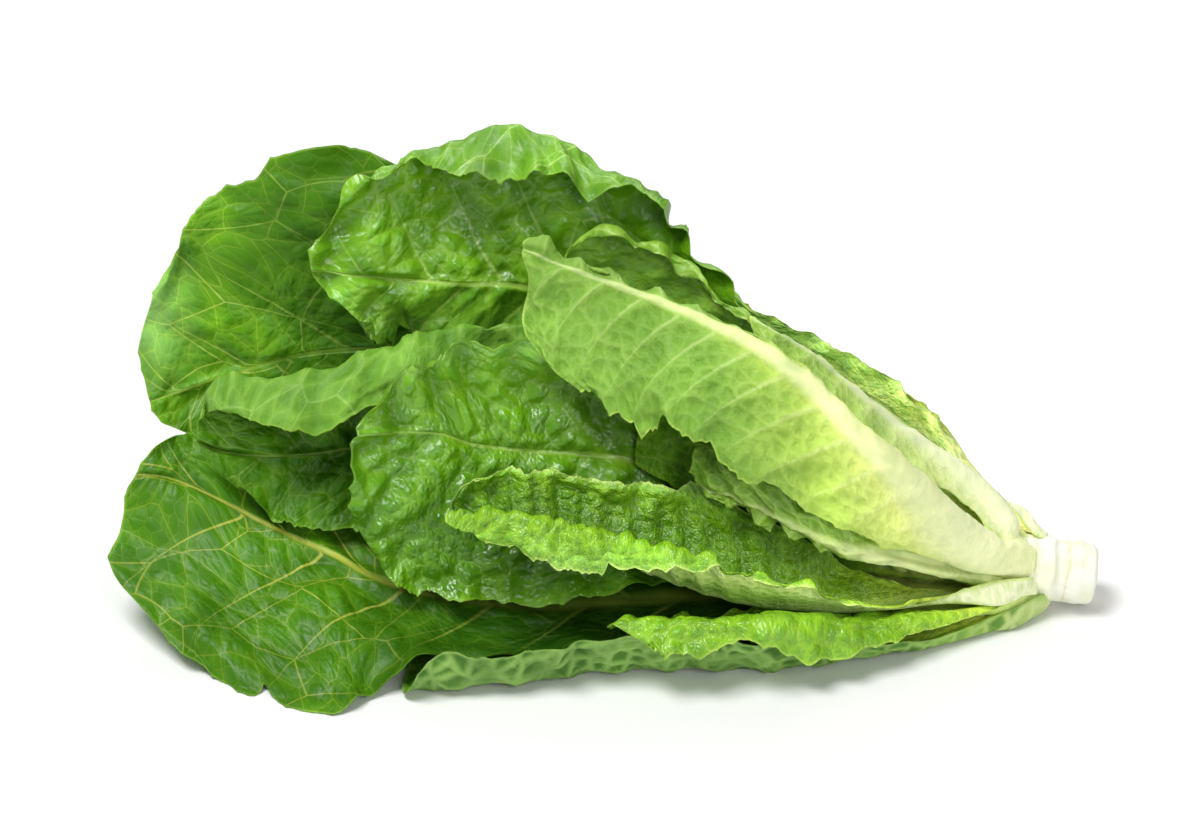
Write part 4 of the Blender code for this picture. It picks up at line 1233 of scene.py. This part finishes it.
def blade_colour(name, here, at, tree):
    """The colours of both faces, paler along the veins and where the inner face's painted light is
    strongest, and with a thin line of painted light at the margin.
    """
    lines = vein_lines(here, at)
    inner_colours = PALETTES[here["palette"]][0]
    outer_colours = PALETTES[OUTER_PALETTES.get(name, here["palette"])][1]
    inner = ramp(at.green, inner_colours)
    outer = ramp(times(at.green, OUTER_GREEN.get(name, 1.0)), outer_colours)
    pillow = step(at.second, 0.0, 0.38)
    inner = mix(pillow, mix(1.0, inner, (1.55, 1.30, 1.30), "MULTIPLY"), inner)
    depth = PILLOW_DEPTH.get(here["palette"], OTHER_PILLOW_DEPTH)
    outer = mix(times(pillow, depth), outer, mix(1.0, outer, (0.58, 0.74, 0.42), "MULTIPLY"))
    if here["palette"] == GREY:
        spots = times(step(at.second, 0.05, 0.30), step(noise(at.place, 75.0, 1.0), 0.46, 0.54))
        outer = mix(spots, outer, mix(1.0, outer, (0.42, 0.58, 0.36), "MULTIPLY"))
    # Painted light: where the inner face's painted light is strongest, its colour turns paler.
    inner = mix(step(read(tree, "painted_light_shade"), 1.0, 1.35, 0.0, 0.4), inner, PAINTED_LIGHT_PALE)
    colour = mix(at.inner, mix(lines, outer, outer_colours[4]), mix(lines, inner, inner_colours[4]))
    # Painted light: a thin pale line along the margin, where light shines through the thin edge.
    margin = step(read(tree, "edge"), 0.2, 1.2, 0.7, 0.0)
    return mix(margin, colour, outer_colours[2])


def shading(at, tree):
    """How light the skin is: mottled, with painted light where it bulges and painted shade in its
    hollows, and with the inner face's painted light and shade.
    """
    # The painted light and shade acts on the inner face only.
    painted_light_shade = step(at.inner, 0.0, 1.0, 1.0, read(tree, "painted_light_shade"))
    mottling = plus(step(at.mottle, 0.25, 0.75, -0.18, 0.10), step(at.cloud, 0.3, 0.7, -0.14, 0.16))
    mottling = times(mottling, step(at.green, 0.0, 0.5, 0.35, 1.0))
    # Painted light where the blade bulges and painted shade in its hollows.
    heave = times(read(tree, "heave"), step(at.inner, 0.0, 1.0, -0.12, 0.28))
    shade = times(plus(mottling, 1.0), painted_light_shade, plus(heave, 1.0))
    # Painted shade: where the skin is darker, red and blue drop faster than green.
    deep = calc("MINIMUM", shade, calc("POWER", shade, 1.35))
    return new_node(tree, "ShaderNodeCombineColor", Red=deep, Green=shade, Blue=deep).outputs[0]


def fine_relief(at):
    """Small blisters in the cells of the finer nets, with crinkles and grain; smooth on the rib."""
    bulge = times(step(at.second, 0.0, 0.45), 0.8)
    bulge = plus(bulge, times(step(at.third, 0.0, 0.40), 0.4))
    relief = plus(
        times(bulge, calc("SUBTRACT", at.inner, 0.4)),
        times(noise(at.place, 900.0, 3.0), 0.06),
        times(noise(at.place, 240.0, 2.0, 0.6), 0.38),
        times(at.mottle, 0.7),
    )
    return times(relief, calc("SUBTRACT", 1.0, times(at.rib, 0.9)))


def leaf_material(name):
    """Leaf skin: green blade, pale rib and veins in three sizes, a thin pale margin of painted light,
    painted light and shade in its colour, and gloss.
    """
    here = LOOKS[name]
    made, tree, shader = new_material("skin_" + name)
    at = skin_values(tree)
    least = ROUGHNESS.get(here["palette"], OTHER_ROUGHNESS)
    rough = step(at.mottle, 0.3, 0.7, least, least + 0.12)
    set_inputs(shader, {
        "Base Color": mix(1.0, blade_colour(name, here, at, tree), shading(at, tree), "MULTIPLY"),
        "Roughness": plus(rough, times(calc("SUBTRACT", 1.0, at.inner), 0.12)),
        "Specular IOR Level": FULL_GLOSS if here["palette"] in GLOSSY else OTHER_GLOSS,
        "Subsurface Weight": 0.15,
        "Subsurface Radius": (1.0, 1.2, 0.25),
        "Subsurface Scale": 0.0012,
        "Normal": bumped(fine_relief(at), 0.9, 0.0008),
    })
    return made


# ---- the stem ----

STEM_SIDES = 144
STEM_ROWS = 110
CUT_ROWS = 24
STEM_RUN = 60.0  # how far the fine stem goes into the head
# The rings that cut leaves left on the stub: (distance from the cut, height, noise).
STEM_RINGS = ((4.5, 0.35, 11), (14.5, 0.6, 12), (20.5, 0.45, 13), (26.0, 0.5, 14))


def stem_radii(along, around, aside):
    """The stem's uneven radius, with its rings."""
    profile = np.array(STEM_PROFILE)
    radius = np.interp(along, profile[:, 0], profile[:, 1])
    radius = radius + 0.35 * lattice_noise(around + 9, aside + along / 9, 3)
    radius = radius + 0.12 * lattice_noise(around * 4 + 9, aside * 4 + along / 3, 4)
    for place, height, seed in STEM_RINGS:
        here = place + 1.1 * lattice_noise(around + 4, aside + 4, seed)
        radius = radius + height * between(along, here - 0.5, here + 0.5, here + 0.8, here + 5.0)
    return radius


def make_stem():
    """The cut stub with the rings of its leaf bases, and the core inside the head."""
    along = np.linspace(0, STEM_RUN, STEM_ROWS)[:, None] * np.ones((1, STEM_SIDES))
    angle = np.linspace(0, 2 * math.pi, STEM_SIDES, endpoint=False)[None] * np.ones((STEM_ROWS, 1))
    around = np.cos(angle) * 3
    aside = np.sin(angle) * 3
    radius = stem_radii(along, around, aside)
    centre = np.array([stem_centre(STEM_END_X - distance) for distance in along[:, 0]])
    axis = unit(np.array((-1.0, 0.0, STEM_RISE)))
    upward = unit(np.cross(axis, (0.0, 1.0, 0.0)))
    ring = np.cos(angle)[..., None] * np.array((0.0, 1.0, 0.0)) + np.sin(angle)[..., None] * upward
    wall = centre[:, None, :] + radius[..., None] * ring
    # The cut face, a little dished: 0 at its middle and 1 at its rim.
    out = np.linspace(0, 1, CUT_ROWS)[1:, None]
    face = wall[0][None] * out[..., None] + centre[0] * (1 - out[..., None])
    uneven = lattice_noise(around[:1] * out * 3 + 5, aside[:1] * out * 3 + 5, 8)
    dish = (0.5 * (1 - out ** 2) + 0.25 * uneven) * rise(1 - out, 0.02, 0.12)
    grid = np.concatenate(((face + dish[..., None] * axis)[:-1], wall))
    ends = np.stack((centre[0] + 0.5 * axis, centre[-1] + 2.0 * axis))
    corners = np.concatenate((grid.reshape(-1, 3), ends))
    index = np.arange(len(grid) * STEM_SIDES).reshape(-1, STEM_SIDES)
    onward = np.roll(index, -1, axis=1)
    faces = np.stack((index[:-1], onward[:-1], onward[1:], index[1:]), -1).reshape(-1, 4).tolist()
    faces += [(index.size, int(b), int(a)) for a, b in zip(index[0], onward[0])]
    faces += [(index.size + 1, int(a), int(b)) for a, b in zip(index[-1], onward[-1])]
    mesh = new_mesh("stem", corners, faces)
    distance = np.concatenate((np.zeros(out[:-1].shape), along[:, :1])) * np.ones(STEM_SIDES)
    cut = np.concatenate((out[:-1], np.ones((STEM_ROWS, 1)))) * np.ones(STEM_SIDES)
    store(mesh, "along", np.append(distance, (0.0, STEM_RUN)))
    store(mesh, "cut", np.append(cut, (0.0, 1.0)))
    mesh.materials.append(stem_material())
    return add_object("stem_cut", mesh)


def stem_material():
    """Cream stem, greener further in, with faint yellow scars and an uneven, drying cut face."""
    made, tree, shader = new_material("skin_stem")
    along = read(tree, "along")
    cut = read(tree, "cut")
    place = object_place(tree)
    cloud = noise(place, 90.0, 4.0)
    spots = noise(place, 330.0, 3.0)
    cream = mix(step(cloud, 0.35, 0.65), (0.93, 0.93, 0.80), (0.87, 0.90, 0.66))
    scar = calc("PINGPONG", plus(along, times(cloud, 3.0)), 5.8)
    scar = times(step(scar, 0.0, 0.9, 1.0, 0.0), step(spots, 0.35, 0.6, 0.3, 1.0))
    scar = times(scar, step(along, 26.0, 30.0, 1.0, 0.0), 0.5)
    cream = mix(step(along, 28.0, 45.0), cream, (0.62, 0.76, 0.26))
    colour = mix(scar, cream, (0.66, 0.58, 0.18))
    rings = calc("PINGPONG", plus(cut, times(noise(place, 140.0, 2.0), 0.9)), 0.17)
    pith = mix(step(rings, 0.0, 0.10), (0.66, 0.58, 0.27), (0.80, 0.78, 0.50))
    pith = mix(times(step(cut, 0.35, 0.15), 0.5), pith, (0.70, 0.74, 0.34))
    dried = times(step(cut, 0.72, 0.92), step(cloud, 0.40, 0.60), 0.6)
    pith = mix(dried, pith, (0.52, 0.40, 0.15))
    set_inputs(shader, {
        "Base Color": mix(step(cut, 0.90, 0.99, 1.0, 0.0), colour, pith),
        "Roughness": 0.42,
        "Subsurface Weight": 0.2,
        "Subsurface Radius": (1.0, 0.9, 0.5),
        "Subsurface Scale": 0.002,
        "Normal": bumped(plus(times(cloud, 0.7), times(spots, 0.25)), 0.6, 0.0006),
    })
    return made


# ---- floor, light and camera ----

FLOOR_RADIUS = 0.9
FLOOR_SIDES = 96
GLOW = (0.30, 0.85, 0.7)  # radius at which the floor's glow begins and is full, and its strength
# Area lights over the head: place, size and power.
LIGHTS = {
    "key": ((-0.55, -0.4, 1.65), (0.9, 0.6), 27),
    "fill": ((0.6, -1.3, 0.9), (0.7, 0.7), 8),
    "back": ((0.1, 1.3, 1.2), (1.4, 0.8), 11),
}
LIGHT_TARGET = (0, 0, 0.05)
WORLD_LIGHT = 0.20
CAMERA_LENS = 120.0
CAMERA_SENSOR = 36.0
CAMERA_DISTANCE = 1.3333
CAMERA_SLOPE = 30
TARGET_HEIGHT = 0.0745


def make_stage():
    """A round pale floor that glows softly towards its rim, to fade into the background."""
    angles = np.linspace(0, 2 * math.pi, FLOOR_SIDES, endpoint=False)
    corners = [(FLOOR_RADIUS * math.cos(a), FLOOR_RADIUS * math.sin(a), 0.0) for a in angles]
    mesh = bpy.data.meshes.new("floor")
    mesh.from_pydata(corners, [], [tuple(range(FLOOR_SIDES))])
    floor = add_object("floor", mesh)
    white, tree, shader = new_material("white_floor")
    length = new_node(tree, "ShaderNodeVectorMath", {"operation": "LENGTH"}, Vector=object_place(tree))
    begins, full, strength = GLOW
    set_inputs(shader, {
        "Base Color": (0.88, 0.88, 0.88),
        "Roughness": 0.8,
        "Specular IOR Level": 0.1,
        "Emission Color": (1.0, 1.0, 1.0),
        "Emission Strength": step(length.outputs["Value"], begins, full, 0.0, strength),
    })
    mesh.materials.append(white)


def make_camera():
    """The camera looks down at 30 degrees from the open side of the head."""
    data = bpy.data.cameras.new("camera")
    data.lens = CAMERA_LENS
    data.sensor_width = CAMERA_SENSOR
    camera = add_object("camera", data)
    slope = math.radians(CAMERA_SLOPE)
    target = Vector((HEAD_SHIFT[0] * MM, HEAD_SHIFT[1] * MM, TARGET_HEIGHT))
    camera.location = target + CAMERA_DISTANCE * Vector((0, -math.cos(slope), math.sin(slope)))
    camera.rotation_euler = (math.radians(90 - CAMERA_SLOPE), 0.0, 0.0)
    bpy.context.scene.camera = camera


def light_scene():
    """Three soft lights, and a white background that gives a little light of its own."""
    scene = bpy.context.scene
    scene.view_settings.view_transform = "Standard"
    scene.world = bpy.data.worlds.new("studio")
    scene.world.use_nodes = True
    tree = scene.world.node_tree
    back = tree.nodes["Background"]
    put(back.inputs[0], (1.0, 1.0, 1.0))
    seen = new_node(tree, "ShaderNodeLightPath").outputs["Is Camera Ray"]
    put(back.inputs[1], step(seen, 0.0, 1.0, WORLD_LIGHT, 1.0))
    for name, (place, size, power) in LIGHTS.items():
        lamp = bpy.data.lights.new(name, "AREA")
        lamp.shape = "RECTANGLE"
        lamp.size, lamp.size_y = size
        lamp.energy = power
        made = add_object(name, lamp)
        made.location = place
        aim = Vector(LIGHT_TARGET) - Vector(place)
        made.rotation_euler = aim.to_track_quat("-Z", "Y").to_euler()


def neighbours_of(name, grids):
    """A tree of all the other leaves' faces."""
    triangles = grid_triangles()
    corners, faces = [], []
    for other, grid in grids.items():
        if other != name:
            faces += [tuple(k + len(corners) for k in t) for t in triangles]
            corners += [Vector(p) for p in grid.reshape(-1, 3)]
    return BVHTree.FromPolygons(corners, faces)


make_stage()
make_camera()
light_scene()
grids = settle({name: leaf_grid(description) for name, description in LEAVES.items()})
for name, grid in grids.items():
    piece = make_leaf(name, grid, neighbours_of(name, grids))
    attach(piece, "root")
    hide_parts(name)
stub = make_stem()
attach(stub, "root")
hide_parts("stem")
